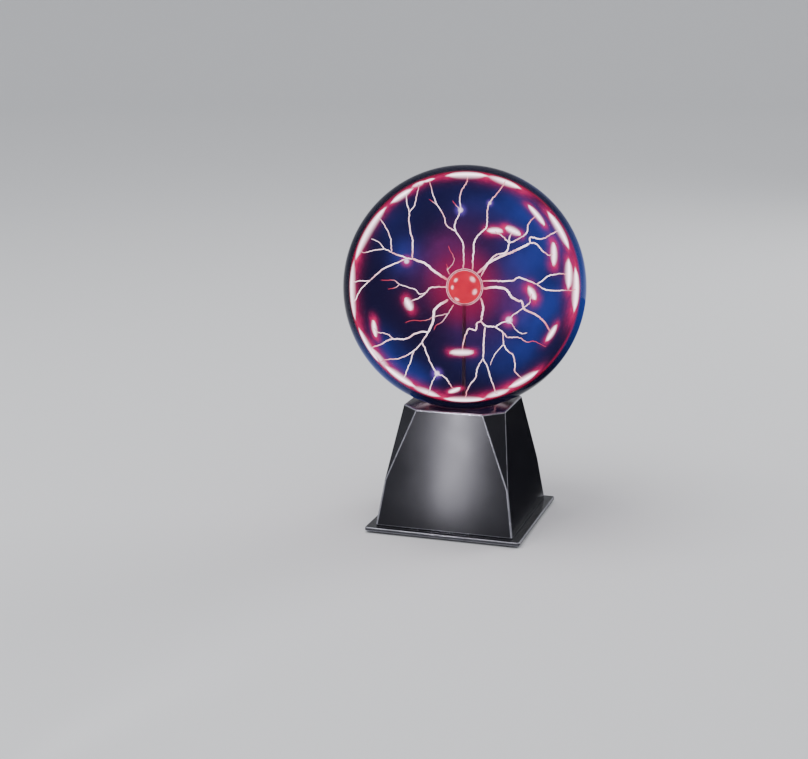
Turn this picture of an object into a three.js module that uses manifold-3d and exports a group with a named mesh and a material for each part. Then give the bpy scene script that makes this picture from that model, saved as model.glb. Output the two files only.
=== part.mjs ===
// A plasma ball: a gas-filled glass globe round a high-voltage electrode, on a faceted plastic
// base that holds the driver circuit. Millimetres, +Z up, with the origin at the centre of the
// surface that the feet stand on. The front faces -Y, and the controls are in the rear, at +Y.

import * as THREE from "three";
import { ConvexGeometry } from "three/addons/geometries/ConvexGeometry.js";
import { mergeVertices } from "three/addons/utils/BufferGeometryUtils.js";
import Module from "manifold-3d";

const wasm = await Module();
wasm.setup();

// Driving dimensions
const GAP = 0.3; // free space between pieces that touch
const TOTAL_HEIGHT = 246;
const GLOBE_RADIUS = 82.5;
const GLASS_WALL = 1.5;
const NECK_RADIUS = 20;
const NECK_END = 57.7;
const ELECTRODE_RADIUS = 12.5;
const STEM_RADIUS = 4;
const STEM_WALL = 1.2;

const DECK_TOP = 84.6;
const DECK_HALF = 35.6; // half-width of the deck
const DECK_CHAMFER = 12.6; // how far the corner facets cut into the deck's corners
const BODY_HALF = 48; // half-width of the body where it meets the plinth
const BODY_BOTTOM = 4.3;
const FACET_POINT = 34; // height where each corner facet comes to its point
const WALL = 2.2;
const DECK_WALL = 2.4;

const PLINTH_HALF = 54.2;
const PLINTH_BOTTOM = 1.5;
const PLINTH_TOP = 4;
const PLINTH_EDGE = 0.5;
const FOOT_AT = 45;
const BASE_SCREW_AT = 36.2;

const PANEL_Y = 42.6; // outer face of the recessed rear panel
const PANEL_HALF = 25;
const PANEL_LOW = 12;
const PANEL_HIGH = 30;
const CONTROLS_Z = 21;
const JACK_X = -15;
const MIC_X = -3;
const SWITCH_X = 13;
const SWITCH_TRAVEL = 4; // on, off and sound are 2 mm apart

const BOARD = { left: -35.5, right: 35.5, front: -31.5, back: 24, bottom: 12.4, thick: 1.6 };
const BOARD_SCREWS = { x: 32, front: -28, back: 20 };

// Values that follow from them
const GLOBE_CENTRE = TOTAL_HEIGHT - GLOBE_RADIUS;
const PANEL_IN = PANEL_Y - WALL;
const BOARD_TOP = BOARD.bottom + BOARD.thick;
const SQUARE_CORNERS = [[1, 1], [-1, 1], [-1, -1], [1, -1]];

const FINISHES = {
  clearGlass: { color: 0x9fb4d8, roughness: 0.05, metalness: 0 },
  electrode: { color: 0xe8414c, roughness: 0.6, metalness: 0 },
  darkPlastic: { color: 0x1c1c22, roughness: 0.25, metalness: 0 },
  mattePlastic: { color: 0x26262b, roughness: 0.6, metalness: 0 },
  rubber: { color: 0x151517, roughness: 0.9, metalness: 0 },
  steel: { color: 0xb8bac0, roughness: 0.35, metalness: 1 },
  nickel: { color: 0xc9c6bd, roughness: 0.3, metalness: 1 },
  aluminium: { color: 0xb4b7ba, roughness: 0.45, metalness: 1 },
  board: { color: 0x1f6b3a, roughness: 0.5, metalness: 0 },
  ferrite: { color: 0x35353a, roughness: 0.8, metalness: 0 },
  copper: { color: 0xb0592c, roughness: 0.4, metalness: 1 },
  bobbin: { color: 0xd9d2bf, roughness: 0.6, metalness: 0 },
  coilResin: { color: 0x2a2430, roughness: 0.5, metalness: 0 },
  sleeve: { color: 0x20305c, roughness: 0.4, metalness: 0 },
  film: { color: 0x8c2f23, roughness: 0.4, metalness: 0 },
  chip: { color: 0x1d1d1f, roughness: 0.6, metalness: 0 },
  resistor: { color: 0xc9a878, roughness: 0.5, metalness: 0 },
  phenolic: { color: 0x6b4a2c, roughness: 0.7, metalness: 0 },
  redWire: { color: 0xb3261e, roughness: 0.6, metalness: 0 },
  blackWire: { color: 0x1a1a1c, roughness: 0.6, metalness: 0 },
  whiteWire: { color: 0xe6e4dd, roughness: 0.6, metalness: 0 },
};

// ---- Solids ----

function toSolid(geometry) {
  const bare = geometry.clone();
  for (const name of Object.keys(bare.attributes)) {
    if (name !== "position") bare.deleteAttribute(name);
  }
  const merged = mergeVertices(bare, 1e-4);
  const index = merged.index.array;
  const kept = [];
  for (let i = 0; i < index.length; i += 3) {
    const [a, b, c] = [index[i], index[i + 1], index[i + 2]];
    if (a !== b && b !== c && c !== a) kept.push(a, b, c);
  }
  return new wasm.Manifold(
    new wasm.Mesh({
      numProp: 3,
      vertProperties: Float32Array.from(merged.attributes.position.array),
      triVerts: Uint32Array.from(kept),
    }),
  );
}

function toGeometry(solid) {
  const { vertProperties, triVerts } = solid.getMesh();
  const geometry = new THREE.BufferGeometry();
  geometry.setAttribute("position", new THREE.BufferAttribute(vertProperties, 3));
  geometry.setIndex(new THREE.BufferAttribute(triVerts, 1));
  geometry.computeVertexNormals();
  return geometry;
}

const join = (...shapes) => toGeometry(shapes.map(toSolid).reduce((all, next) => all.add(next)));
const cut = (shape, ...tools) =>
  toGeometry(tools.map(toSolid).reduce((left, tool) => left.subtract(tool), toSolid(shape)));
const common = (a, b) => toGeometry(toSolid(a).intersect(toSolid(b)));

// ---- Shapes ----

// A box between two corners
function block([x0, y0, z0], [x1, y1, z1]) {
  return new THREE.BoxGeometry(x1 - x0, y1 - y0, z1 - z0).translate(
    (x0 + x1) / 2,
    (y0 + y1) / 2,
    (z0 + z1) / 2,
  );
}

// A solid of revolution about Z, from [radius, height] points that run up its outside
function turned(profile, segments = 24) {
  const points = profile.map(([radius, height]) => new THREE.Vector2(radius, height));
  return new THREE.LatheGeometry(points, segments).rotateX(Math.PI / 2);
}

function disc(radius, bottom, top, segments = 24) {
  return turned([[0, bottom], [radius, bottom], [radius, top], [0, top]], segments);
}

function ring(inner, outer, bottom, top, segments = 24) {
  return turned([[inner, bottom], [outer, bottom], [outer, top], [inner, top], [inner, bottom]],
    segments);
}

// [radius, height] points on an arc about a centre, between two angles in degrees up from +radius
function arc(centreRadius, centreHeight, radius, from, to, steps) {
  return Array.from({ length: steps + 1 }, (_, i) => {
    const angle = THREE.MathUtils.degToRad(from + ((to - from) * i) / steps);
    return [centreRadius + radius * Math.cos(angle), centreHeight + radius * Math.sin(angle)];
  });
}

// An outline of [x, y] points pushed up along Z
function prism(outline, bottom, top) {
  const shape = new THREE.Shape(outline.map(([x, y]) => new THREE.Vector2(x, y)));
  return new THREE.ExtrudeGeometry(shape, { depth: top - bottom, bevelEnabled: false })
    .translate(0, 0, bottom);
}

// A round wire along a smooth curve
function wire(points, radius, steps, sides = 6) {
  const path = new THREE.CatmullRomCurve3(points.map((point) => new THREE.Vector3(...point)));
  const section = new THREE.Shape(
    Array.from({ length: sides }, (_, i) => {
      const angle = (2 * Math.PI * i) / sides;
      return new THREE.Vector2(radius * Math.cos(angle), radius * Math.sin(angle));
    }),
  );
  return new THREE.ExtrudeGeometry(section, { steps, extrudePath: path });
}

// A screw along Z with its head's underside at the origin and its shank going up
function screw(headRadius, headHeight, shankRadius, shankLength) {
  return turned([
    [0, -headHeight],
    [headRadius * 0.7, -headHeight],
    [headRadius, -headHeight * 0.45],
    [headRadius, 0],
    [shankRadius, 0],
    [shankRadius, shankLength - shankRadius],
    [0, shankLength],
  ], 12);
}

function part(name, geometry, finish, position = [0, 0, 0], rotation = [0, 0, 0]) {
  const mesh = new THREE.Mesh(geometry, new THREE.MeshStandardMaterial(finish));
  mesh.name = name;
  mesh.position.set(...position);
  mesh.rotation.set(...rotation);
  return mesh;
}

// ---- Globe: heights here are measured from the centre of the sphere ----

// A sphere's profile about the centre, from where a neck meets it underneath, up to its top
function spherePoints(radius, neckRadius, stepsBelow, stepsAbove) {
  const low = -THREE.MathUtils.radToDeg(Math.acos(neckRadius / radius));
  const below = arc(0, 0, radius, low, 0, stepsBelow);
  return [...below, ...arc(0, 0, radius, 0, 90, stepsAbove).slice(1)];
}

function globeGlass() {
  const neckInner = NECK_RADIUS - GLASS_WALL;
  const end = NECK_END - GLOBE_CENTRE;
  return turned([
    ...spherePoints(GLOBE_RADIUS - GLASS_WALL, neckInner, 8, 9).reverse(),
    [neckInner, end],
    [NECK_RADIUS, end],
    ...spherePoints(GLOBE_RADIUS, NECK_RADIUS, 8, 9),
  ], 40);
}

// The sealed-in stem: a flare that closes the neck, a slim tube and the electrode's bulb
function stemGlass() {
  const bore = STEM_RADIUS - STEM_WALL;
  const bulbWall = 1;
  const bulbInner = ELECTRODE_RADIUS - bulbWall;
  const rim = NECK_END + 1.8 - GLOBE_CENTRE;
  const flareHeight = 14;
  const flareRadius = NECK_RADIUS - GLASS_WALL - 2 * GAP;
  const flare = (radius, wall) =>
    [0, 0.25, 0.5, 0.75].map((t) => [
      radius + (flareRadius - wall - radius) * (1 - t) ** 2,
      rim + flareHeight * t,
    ]);
  return turned([
    ...spherePoints(bulbInner, bore, 4, 4).reverse(),
    [bore, rim + flareHeight],
    ...flare(bore, STEM_WALL).reverse(),
    ...flare(STEM_RADIUS, 0),
    [STEM_RADIUS, rim + flareHeight],
    ...spherePoints(ELECTRODE_RADIUS, STEM_RADIUS, 4, 4),
  ], 20);
}

function electrodeCore() {
  return turned(arc(0, 0, ELECTRODE_RADIUS - 1 - GAP, -90, 90, 10), 16);
}

function globe() {
  const group = new THREE.Group();
  group.position.z = GLOBE_CENTRE;
  group.add(
    part("globe_glass", globeGlass(), FINISHES.clearGlass),
    part("stem_glass", stemGlass(), FINISHES.clearGlass),
    part("electrode_core", electrodeCore(), FINISHES.electrode),
  );
  return group;
}

// ---- Base housing ----

const mix = (a, b, t) => a + (b - a) * t;
const heightShare = (z) => (z - BODY_BOTTOM) / (DECK_TOP - BODY_BOTTOM);
const sideAt = (z) => mix(BODY_HALF, DECK_HALF, heightShare(z));
const FACET_LOW = Math.SQRT2 * sideAt(FACET_POINT); // the facet's distance from the axis at its point
const FACET_HIGH = (2 * DECK_HALF - DECK_CHAMFER) / Math.SQRT2; // and at the deck
const facetAt = (z) => mix(FACET_LOW, FACET_HIGH, (z - FACET_POINT) / (DECK_TOP - FACET_POINT));
const SIDE_LEAN = Math.atan((BODY_HALF - DECK_HALF) / (DECK_TOP - BODY_BOTTOM));
const FACET_LEAN = Math.atan((FACET_LOW - FACET_HIGH) / (DECK_TOP - FACET_POINT));

// The tapered square body with a triangular facet on each corner, drawn in by inset all round
function facetedBody(inset, bottom, top) {
  const side = (z) => sideAt(z) - inset / Math.cos(SIDE_LEAN);
  const facet = (z) => facetAt(z) - inset / Math.cos(FACET_LEAN);
  const chamfer = (z) => 2 * side(z) - Math.SQRT2 * facet(z);
  const point = mix(bottom, top, chamfer(bottom) / (chamfer(bottom) - chamfer(top)));
  const levels = [[bottom, 0], [point, 0], [top, chamfer(top)]];
  const corners = [];
  for (const [x, y] of SQUARE_CORNERS) {
    for (const [z, back] of levels) {
      corners.push(new THREE.Vector3(x * side(z), y * (side(z) - back), z));
      corners.push(new THREE.Vector3(x * (side(z) - back), y * side(z), z));
    }
  }
  return new ConvexGeometry(corners);
}

const SEAT = { hole: 21.2, recess: 25.4, floor: 81.2, ringOuter: 28, ringBottom: 78.4 };
const COLLAR = { bolts: 30 / Math.SQRT2, top: 76, flange: 33.8, thick: 2.4, wall: 2.4, lip: 14 };

function baseHousing() {
  const outside = facetedBody(0, BODY_BOTTOM, DECK_TOP);
  const inside = facetedBody(WALL, BODY_BOTTOM - 1, DECK_TOP - DECK_WALL);
  const bossTop = FACET_POINT - 5;
  const bossBottom = PLINTH_TOP + 4 + GAP;
  const added = [ring(SEAT.hole, SEAT.ringOuter, SEAT.ringBottom, DECK_TOP - 1, 40)];
  const removed = [
    disc(SEAT.hole, SEAT.ringBottom - 1, DECK_TOP + 1, 40),
    disc(SEAT.recess, SEAT.floor, DECK_TOP + 1, 40),
  ];
  for (const [x, y] of SQUARE_CORNERS) {
    const [bx, by] = [x * BASE_SCREW_AT, y * BASE_SCREW_AT];
    const rib = 0.8;
    added.push(disc(4, bossBottom, bossTop, 16).translate(bx, by, 0));
    const reach = [Math.min(bx, x * BODY_HALF), Math.max(bx, x * BODY_HALF)];
    added.push(block([reach[0], by - rib, bossBottom], [reach[1], by + rib, bossTop]));
    const reachY = [Math.min(by, y * BODY_HALF), Math.max(by, y * BODY_HALF)];
    added.push(block([bx - rib, reachY[0], bossBottom], [bx + rib, reachY[1], bossTop]));
    removed.push(disc(1.7, bossBottom - 1, bossTop - 3, 12).translate(bx, by, 0));
    const [cx, cy] = [x * COLLAR.bolts, y * COLLAR.bolts];
    added.push(disc(3.6, COLLAR.top + GAP, DECK_TOP - 1, 16).translate(cx, cy, 0));
    removed.push(disc(1.25, COLLAR.top, COLLAR.top + 6, 12).translate(cx, cy, 0));
  }
  added.push(
    block([-PANEL_HALF - WALL, PANEL_IN, PANEL_LOW - WALL],
      [PANEL_HALF + WALL, BODY_HALF, PANEL_HIGH + WALL]),
  );
  const walls = common(join(cut(outside, inside), ...added), outside);
  return cut(walls, ...removed, ...rearOpenings());
}

// The recess of the rear panel, with the holes for the jack, microphone, switch and its screws
function rearOpenings() {
  const hole = (radius, x, segments = 20) =>
    disc(radius, -6, 6, segments).rotateX(Math.PI / 2).translate(x, PANEL_IN, CONTROLS_Z);
  const slotHalf = SWITCH.lever / 2 + GAP;
  return [
    block([-PANEL_HALF, PANEL_Y, PANEL_LOW], [PANEL_HALF, BODY_HALF + 1, PANEL_HIGH]),
    hole(JACK.barrel + GAP, JACK_X, 24),
    hole(0.9, MIC_X, 12),
    hole(SWITCH.screwHole, SWITCH_X - SWITCH.screwAt, 12),
    hole(SWITCH.screwHole, SWITCH_X + SWITCH.screwAt, 12),
    block(
      [SWITCH_X - SWITCH_TRAVEL / 2 - slotHalf, PANEL_IN - 1, CONTROLS_Z - SWITCH.leverHigh / 2 - 0.4],
      [SWITCH_X + SWITCH_TRAVEL / 2 + slotHalf, PANEL_Y + 1, CONTROLS_Z + SWITCH.leverHigh / 2 + 0.4],
    ),
  ];
}

// ---- Plinth, feet and the screws from below ----

const BOSS = { outer: 5.2, top: PLINTH_TOP + 4, seat: 5.6, bore: 3.3, hole: 1.8 };
const FOOT = { radius: 6, recess: 0.8 };

function basePlate() {
  const edge = PLINTH_HALF;
  const corner = 2;
  const outline = new THREE.Shape();
  outline.moveTo(edge - corner, -edge);
  for (const [turn, [x, y]] of [[0, [1, 1]], [1, [-1, 1]], [2, [-1, -1]], [3, [1, -1]]]) {
    const from = (turn * Math.PI) / 2;
    outline.absarc(x * (edge - corner), y * (edge - corner), corner, from, from + Math.PI / 2);
  }
  const plate = new THREE.ExtrudeGeometry(outline, {
    depth: PLINTH_TOP - PLINTH_BOTTOM - 2 * PLINTH_EDGE,
    bevelThickness: PLINTH_EDGE,
    bevelSize: PLINTH_EDGE,
    bevelOffset: -PLINTH_EDGE,
    bevelSegments: 1,
    curveSegments: 3,
  }).translate(0, 0, PLINTH_BOTTOM + PLINTH_EDGE);
  const ribOuter = 44.6;
  const ribInner = 43.2;
  const rib = cut(
    block([-ribOuter, -ribOuter, PLINTH_TOP - 1], [ribOuter, ribOuter, BOSS.top]),
    block([-ribInner, -ribInner, PLINTH_TOP - 2], [ribInner, ribInner, BOSS.top + 1]),
  );
  const added = [rib];
  const removed = [];
  for (const [x, y] of SQUARE_CORNERS) {
    const at = [x * BASE_SCREW_AT, y * BASE_SCREW_AT, 0];
    added.push(disc(BOSS.outer, PLINTH_TOP - 1, BOSS.top, 20).translate(...at));
    removed.push(disc(BOSS.bore, PLINTH_BOTTOM - 1, BOSS.seat, 16).translate(...at));
    removed.push(disc(BOSS.hole, PLINTH_BOTTOM, BOSS.top + 1, 12).translate(...at));
    removed.push(
      disc(FOOT.radius + GAP, PLINTH_BOTTOM - 1, PLINTH_BOTTOM + FOOT.recess, 24)
        .translate(x * FOOT_AT, y * FOOT_AT, 0),
    );
  }
  for (const at of boardScrewPlaces()) {
    added.push(disc(3, PLINTH_TOP - 1, BOARD.bottom - GAP, 16).translate(...at, 0));
    removed.push(disc(1.1, PLINTH_TOP + 1.5, BOARD.bottom, 12).translate(...at, 0));
  }
  for (let x = -15; x <= 15; x += 6) {
    removed.push(block([x - 1.2, -11, PLINTH_BOTTOM - 1], [x + 1.2, 11, PLINTH_TOP + 1]));
  }
  return cut(join(plate, ...added), ...removed);
}

function foot() {
  const height = PLINTH_BOTTOM + FOOT.recess - GAP;
  return turned([[0, 0], [FOOT.radius - 0.6, 0], [FOOT.radius, 0.6], [FOOT.radius, height], [0, height]]);
}

function base() {
  const group = new THREE.Group();
  group.add(
    part("base_housing", baseHousing(), FINISHES.darkPlastic),
    part("base_plate", basePlate(), FINISHES.darkPlastic),
  );
  SQUARE_CORNERS.forEach(([x, y], i) => {
    group.add(
      part(`foot_${i + 1}`, foot(), FINISHES.rubber, [x * FOOT_AT, y * FOOT_AT, 0]),
      part(`base_screw_${i + 1}`, screw(2.9, 2, 1.4, 18), FINISHES.steel,
        [x * BASE_SCREW_AT, y * BASE_SCREW_AT, BOSS.seat - GAP]),
    );
  });
  return group;
}

// ---- Globe seat: a rubber gasket in the deck and a collar that clamps the neck from below ----

function seatGasket() {
  const inner = NECK_RADIUS + 0.5;
  const outer = SEAT.recess - 0.5;
  const underGlobe = (radius) => GLOBE_CENTRE - Math.sqrt(GLOBE_RADIUS ** 2 - radius ** 2) - 0.35;
  const top = [0, 0.5, 1].map((t) => mix(outer, inner, t)).map((r) => [r, underGlobe(r)]);
  const floor = SEAT.floor + GAP;
  return turned([[inner, floor], [outer, floor], ...top, [inner, floor]], 40);
}

function globeCollar() {
  const inner = NECK_RADIUS + 0.4;
  const outer = inner + COLLAR.wall;
  const bottom = NECK_END - GAP - 2;
  const cup = turned([
    [COLLAR.lip, bottom],
    [outer, bottom],
    [outer, COLLAR.top - COLLAR.thick],
    [COLLAR.flange, COLLAR.top - COLLAR.thick],
    [COLLAR.flange, COLLAR.top],
    [inner, COLLAR.top],
    [inner, NECK_END - GAP],
    [COLLAR.lip, NECK_END - GAP],
    [COLLAR.lip, bottom],
  ], 32);
  const holes = SQUARE_CORNERS.map(([x, y]) =>
    disc(1.6, COLLAR.top - COLLAR.thick - 1, COLLAR.top + 1, 12)
      .translate(x * COLLAR.bolts, y * COLLAR.bolts, 0));
  return cut(cup, ...holes);
}

function globeSeat() {
  const group = new THREE.Group();
  group.add(
    part("seat_gasket", seatGasket(), FINISHES.rubber),
    part("globe_collar", globeCollar(), FINISHES.mattePlastic),
  );
  SQUARE_CORNERS.forEach(([x, y], i) => {
    group.add(
      part(`collar_screw_${i + 1}`, screw(2.8, 1.8, 0.95, 8), FINISHES.steel,
        [x * COLLAR.bolts, y * COLLAR.bolts, COLLAR.top - COLLAR.thick - GAP]),
    );
  });
  return group;
}

// ---- Rear panel: power jack, microphone and mode switch ----
// Pieces here are placed by a group at the panel's inner face. In it +Z points out of the rear
// and +Y down, so a piece's depth behind the panel is a negative height.

const JACK = { barrel: 3.95, bore: 3, pin: 1, flange: 5.6, behind: -9, depth: 9.7 };
const SWITCH = { lever: 4, leverHigh: 3.2, screwAt: 7.5, screwHole: 1.2, frameHigh: 3.3, capHalf: 6 };

function dcJack() {
  const mouth = WALL + GAP + 1.2;
  const floor = mouth - JACK.depth;
  const body = turned([
    [JACK.pin + GAP, JACK.behind],
    [JACK.barrel, JACK.behind],
    [JACK.barrel, WALL + GAP],
    [JACK.flange, WALL + GAP],
    [JACK.flange, mouth - 0.4],
    [JACK.flange - 0.4, mouth],
    [JACK.bore + 0.4, mouth],
    [JACK.bore, mouth - 0.4],
    [JACK.bore, floor],
    [JACK.pin + GAP, floor],
    [JACK.pin + GAP, JACK.behind],
  ], 24);
  const pinTip = mouth - 1.6;
  const pin = turned([
    [0, JACK.behind - 3],
    [JACK.pin, JACK.behind - 3],
    [JACK.pin, pinTip - 0.5],
    [JACK.pin / 2, pinTip],
    [0, pinTip],
  ], 16);
  const acrossCorners = 11 / Math.sqrt(3);
  const hexagon = Array.from({ length: 6 }, (_, i) => [
    acrossCorners * Math.cos((i * Math.PI) / 3),
    acrossCorners * Math.sin((i * Math.PI) / 3),
  ]);
  const nut = cut(prism(hexagon, -2.3, -GAP), disc(JACK.barrel + GAP, -3, 0));
  const lugTop = JACK.behind - GAP;
  const lug = join(ring(1.6, 3.6, lugTop - 0.6, lugTop, 20), block([-8, -1.1, lugTop - 0.6], [-2, 1.1, lugTop]));
  const group = new THREE.Group();
  group.position.x = JACK_X;
  group.add(
    part("dc_jack_body", body, FINISHES.mattePlastic),
    part("dc_jack_pin", pin, FINISHES.nickel),
    part("dc_jack_nut", nut, FINISHES.nickel),
    part("dc_jack_lug", lug, FINISHES.nickel),
  );
  return group;
}

function microphone() {
  const front = -1;
  const capsule = turned([[0, front - 4.5], [3, front - 4.5], [3, front - 0.3], [2.7, front], [0, front]]);
  const sleeve = ring(3.3, 4.5, front - 4.8, -GAP);
  const group = new THREE.Group();
  group.position.x = MIC_X;
  group.add(
    part("microphone", capsule, FINISHES.aluminium),
    part("microphone_sleeve", sleeve, FINISHES.rubber),
  );
  return group;
}

// A three-position slide switch. The lever is modelled at the "on" end of its slot, and the
// bridging contact travels with it over the terminals.
function modeSwitch() {
  const sheet = 0.6;
  const high = SWITCH.frameHigh;
  const flangeBack = -GAP - sheet;
  const capBack = flangeBack - 5.6;
  const slot = SWITCH_TRAVEL / 2 + SWITCH.lever / 2 + GAP;
  const ear = 9.8;
  const frame = cut(
    join(
      block([-SWITCH.capHalf, -high, capBack], [SWITCH.capHalf, high, flangeBack + 0.1]),
      block([-ear, -high, flangeBack], [ear, high, -GAP]),
    ),
    block([-SWITCH.capHalf + sheet, -high + sheet, capBack - 1], [SWITCH.capHalf - sheet, high - sheet, flangeBack]),
    block([-slot, -SWITCH.leverHigh / 2 - GAP, flangeBack - 1], [slot, SWITCH.leverHigh / 2 + GAP, 0]),
    disc(SWITCH.screwHole, flangeBack - 1, 0, 12).translate(-SWITCH.screwAt, 0, 0),
    disc(SWITCH.screwHole, flangeBack - 1, 0, 12).translate(SWITCH.screwAt, 0, 0),
  );
  const baseHalf = SWITCH.capHalf - sheet - GAP;
  const baseHigh = high - sheet - GAP;
  const baseFront = capBack + 1.7;
  const terminalsAt = [-3.6, 0, 3.6];
  const base = cut(
    block([-baseHalf, -baseHigh, capBack + 0.1], [baseHalf, baseHigh, baseFront]),
    ...terminalsAt.map((x) => block([x - 0.9, -0.5, capBack - 1], [x + 0.9, 0.5, baseFront + 1])),
  );
  const contactFront = baseFront + GAP + 0.8;
  const blockBack = contactFront + GAP;
  const rest = -SWITCH_TRAVEL / 2;
  const contact = block([rest - 2.4, -1.4, baseFront + GAP], [rest + 2.4, 1.4, contactFront]);
  const leverTip = WALL + 2;
  const half = SWITCH.lever / 2;
  const ribs = [-1.3, 0, 1.3].map((x) =>
    block([rest + x - 0.3, -SWITCH.leverHigh / 2, leverTip - 0.1], [rest + x + 0.3, SWITCH.leverHigh / 2, leverTip + 0.4]));
  const lever = join(
    block([rest - 3, -baseHigh + 0.1, blockBack], [rest + 3, baseHigh - 0.1, flangeBack - GAP]),
    block([rest - half, -SWITCH.leverHigh / 2, flangeBack - 1], [rest + half, SWITCH.leverHigh / 2, leverTip]),
    ...ribs,
  );
  const group = new THREE.Group();
  group.position.x = SWITCH_X;
  group.add(
    part("switch_frame", frame, FINISHES.steel),
    part("switch_base", base, FINISHES.phenolic),
    part("switch_contact", contact, FINISHES.copper),
    part("switch_lever", lever, FINISHES.mattePlastic),
  );
  terminalsAt.forEach((x, i) => {
    const pin = block([x - 0.6, -0.2, capBack - 3.4], [x + 0.6, 0.2, baseFront]);
    group.add(part(`switch_terminal_${i + 1}`, pin, FINISHES.nickel));
  });
  [-1, 1].forEach((side, i) => {
    group.add(
      part(`switch_screw_${i + 1}`, screw(1.9, 1.1, 0.85, 5.5), FINISHES.steel,
        [side * SWITCH.screwAt, 0, WALL + GAP], [Math.PI, 0, 0]),
    );
  });
  return group;
}

function rearPanel() {
  const group = new THREE.Group();
  group.position.set(0, PANEL_IN, CONTROLS_Z);
  group.rotation.x = -Math.PI / 2;
  group.add(dcJack(), microphone(), modeSwitch());
  return group;
}

// ---- Driver: heights here are measured from the top of the circuit board ----

function boardScrewPlaces() {
  const { x, front, back } = BOARD_SCREWS;
  return [[x, back], [-x, back], [-x, front], [x, front]];
}

function driverBoard() {
  const plate = block([BOARD.left, BOARD.front, -BOARD.thick], [BOARD.right, BOARD.back, 0]);
  const holes = boardScrewPlaces().map((at) => disc(1.5, -BOARD.thick - 1, 1, 12).translate(...at, 0));
  return cut(plate, ...holes);
}

// The transformer's core is two U halves, leg to leg, each extruded from the same outline
const CORE = { half: 17, leg: 8, legLong: 11, bottom: 0.6, airGap: 0.4, deep: 8 };
const LEG_AT = CORE.half - CORE.leg / 2;
const COIL_LOW = CORE.bottom + CORE.leg + 0.6;
const COIL_HIGH = CORE.bottom + CORE.leg + 2 * CORE.legLong + CORE.airGap - 0.6;

function coreHalf() {
  const { half, leg, legLong, deep } = CORE;
  const outline = [
    [-half, 0], [half, 0], [half, leg + legLong], [half - leg, leg + legLong],
    [half - leg, leg], [leg - half, leg], [leg - half, leg + legLong], [-half, leg + legLong],
  ];
  return prism(outline, -deep / 2, deep / 2).rotateX(Math.PI / 2);
}

function transformer() {
  const bore = (CORE.leg / 2) * Math.SQRT2 + 0.45;
  const spoolWall = bore + 0.9;
  const flange = 9.9;
  const cheek = 1.6;
  const spool = turned([
    [bore, COIL_LOW],
    [flange, COIL_LOW],
    [flange, COIL_LOW + cheek],
    [spoolWall, COIL_LOW + cheek],
    [spoolWall, COIL_HIGH - cheek],
    [flange, COIL_HIGH - cheek],
    [flange, COIL_HIGH],
    [bore, COIL_HIGH],
    [bore, COIL_LOW],
  ], 24);
  const winding = ring(spoolWall + GAP, flange - 0.6, COIL_LOW + cheek + GAP, COIL_HIGH - cheek - GAP);
  const coil = turned([
    [bore, COIL_LOW],
    [11, COIL_LOW],
    [12, COIL_LOW + 1],
    [12, COIL_HIGH - 1],
    [11, COIL_HIGH],
    [bore, COIL_HIGH],
    [bore, COIL_LOW],
  ], 28);
  const top = CORE.bottom + 2 * (CORE.leg + CORE.legLong) + CORE.airGap;
  const group = new THREE.Group();
  group.add(
    part("core_lower", coreHalf(), FINISHES.ferrite, [0, 0, CORE.bottom]),
    part("core_upper", coreHalf(), FINISHES.ferrite, [0, 0, top], [Math.PI, 0, 0]),
    part("primary_bobbin", spool, FINISHES.bobbin, [-LEG_AT, 0, 0]),
    part("primary_winding", winding, FINISHES.copper, [-LEG_AT, 0, 0]),
    part("high_voltage_coil", coil, FINISHES.coilResin, [LEG_AT, 0, 0]),
  );
  return group;
}

// A plate with fins towards the front, and the power transistor screwed to its back
function heatSink() {
  const half = 14;
  const spine = { front: -20.5, back: -18 };
  const finTip = -30;
  const fins = 6;
  const finHalf = 0.75;
  const pitch = (2 * (half - finHalf)) / (fins - 1);
  const outline = [[half, spine.back], [-half, spine.back]];
  for (let i = 0; i < fins; i += 1) {
    const x = -half + finHalf + i * pitch;
    outline.push([x - finHalf, i === 0 ? finTip : spine.front]);
    if (i > 0) outline.push([x - finHalf, finTip]);
    outline.push([x + finHalf, finTip]);
    if (i < fins - 1) outline.push([x + finHalf, spine.front]);
  }
  const screwAt = { x: -7.7, z: 20.5 };
  const body = cut(
    prism(outline, GAP, 30),
    disc(1.8, 17, 22, 12).rotateX(Math.PI / 2).translate(screwAt.x, 0, screwAt.z),
  );
  const [front, back] = [spine.back + GAP, spine.back + GAP + 4.5];
  const leads = [-2.54, 0, 2.54].map((x) =>
    block([screwAt.x + x - 0.35, front + 1.9, GAP], [screwAt.x + x + 0.35, front + 2.5, 8.6]));
  const transistor = cut(
    join(
      block([screwAt.x - 5, front, 8.5], [screwAt.x + 5, back, 17.5]),
      block([screwAt.x - 5, front, 17], [screwAt.x + 5, front + 1.3, 23.5]),
      ...leads,
    ),
    disc(1.8, -front - 3, -front + 1, 12).rotateX(Math.PI / 2).translate(screwAt.x, 0, screwAt.z),
  );
  const group = new THREE.Group();
  group.add(
    part("heat_sink", body, FINISHES.aluminium),
    part("power_transistor", transistor, FINISHES.chip),
    part("transistor_screw", screw(2.6, 1.8, 1.4, 6), FINISHES.steel,
      [screwAt.x, front + 1.3 + GAP, screwAt.z], [Math.PI / 2, 0, 0]),
  );
  return group;
}

function canCapacitor(radius, height) {
  return turned([
    [0, 0], [radius - 0.4, 0], [radius, 0.5], [radius, 2], [radius - 0.5, 2.6], [radius, 3.2],
    [radius, height - 0.8], [radius - 0.8, height], [0, height],
  ], 20);
}

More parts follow.
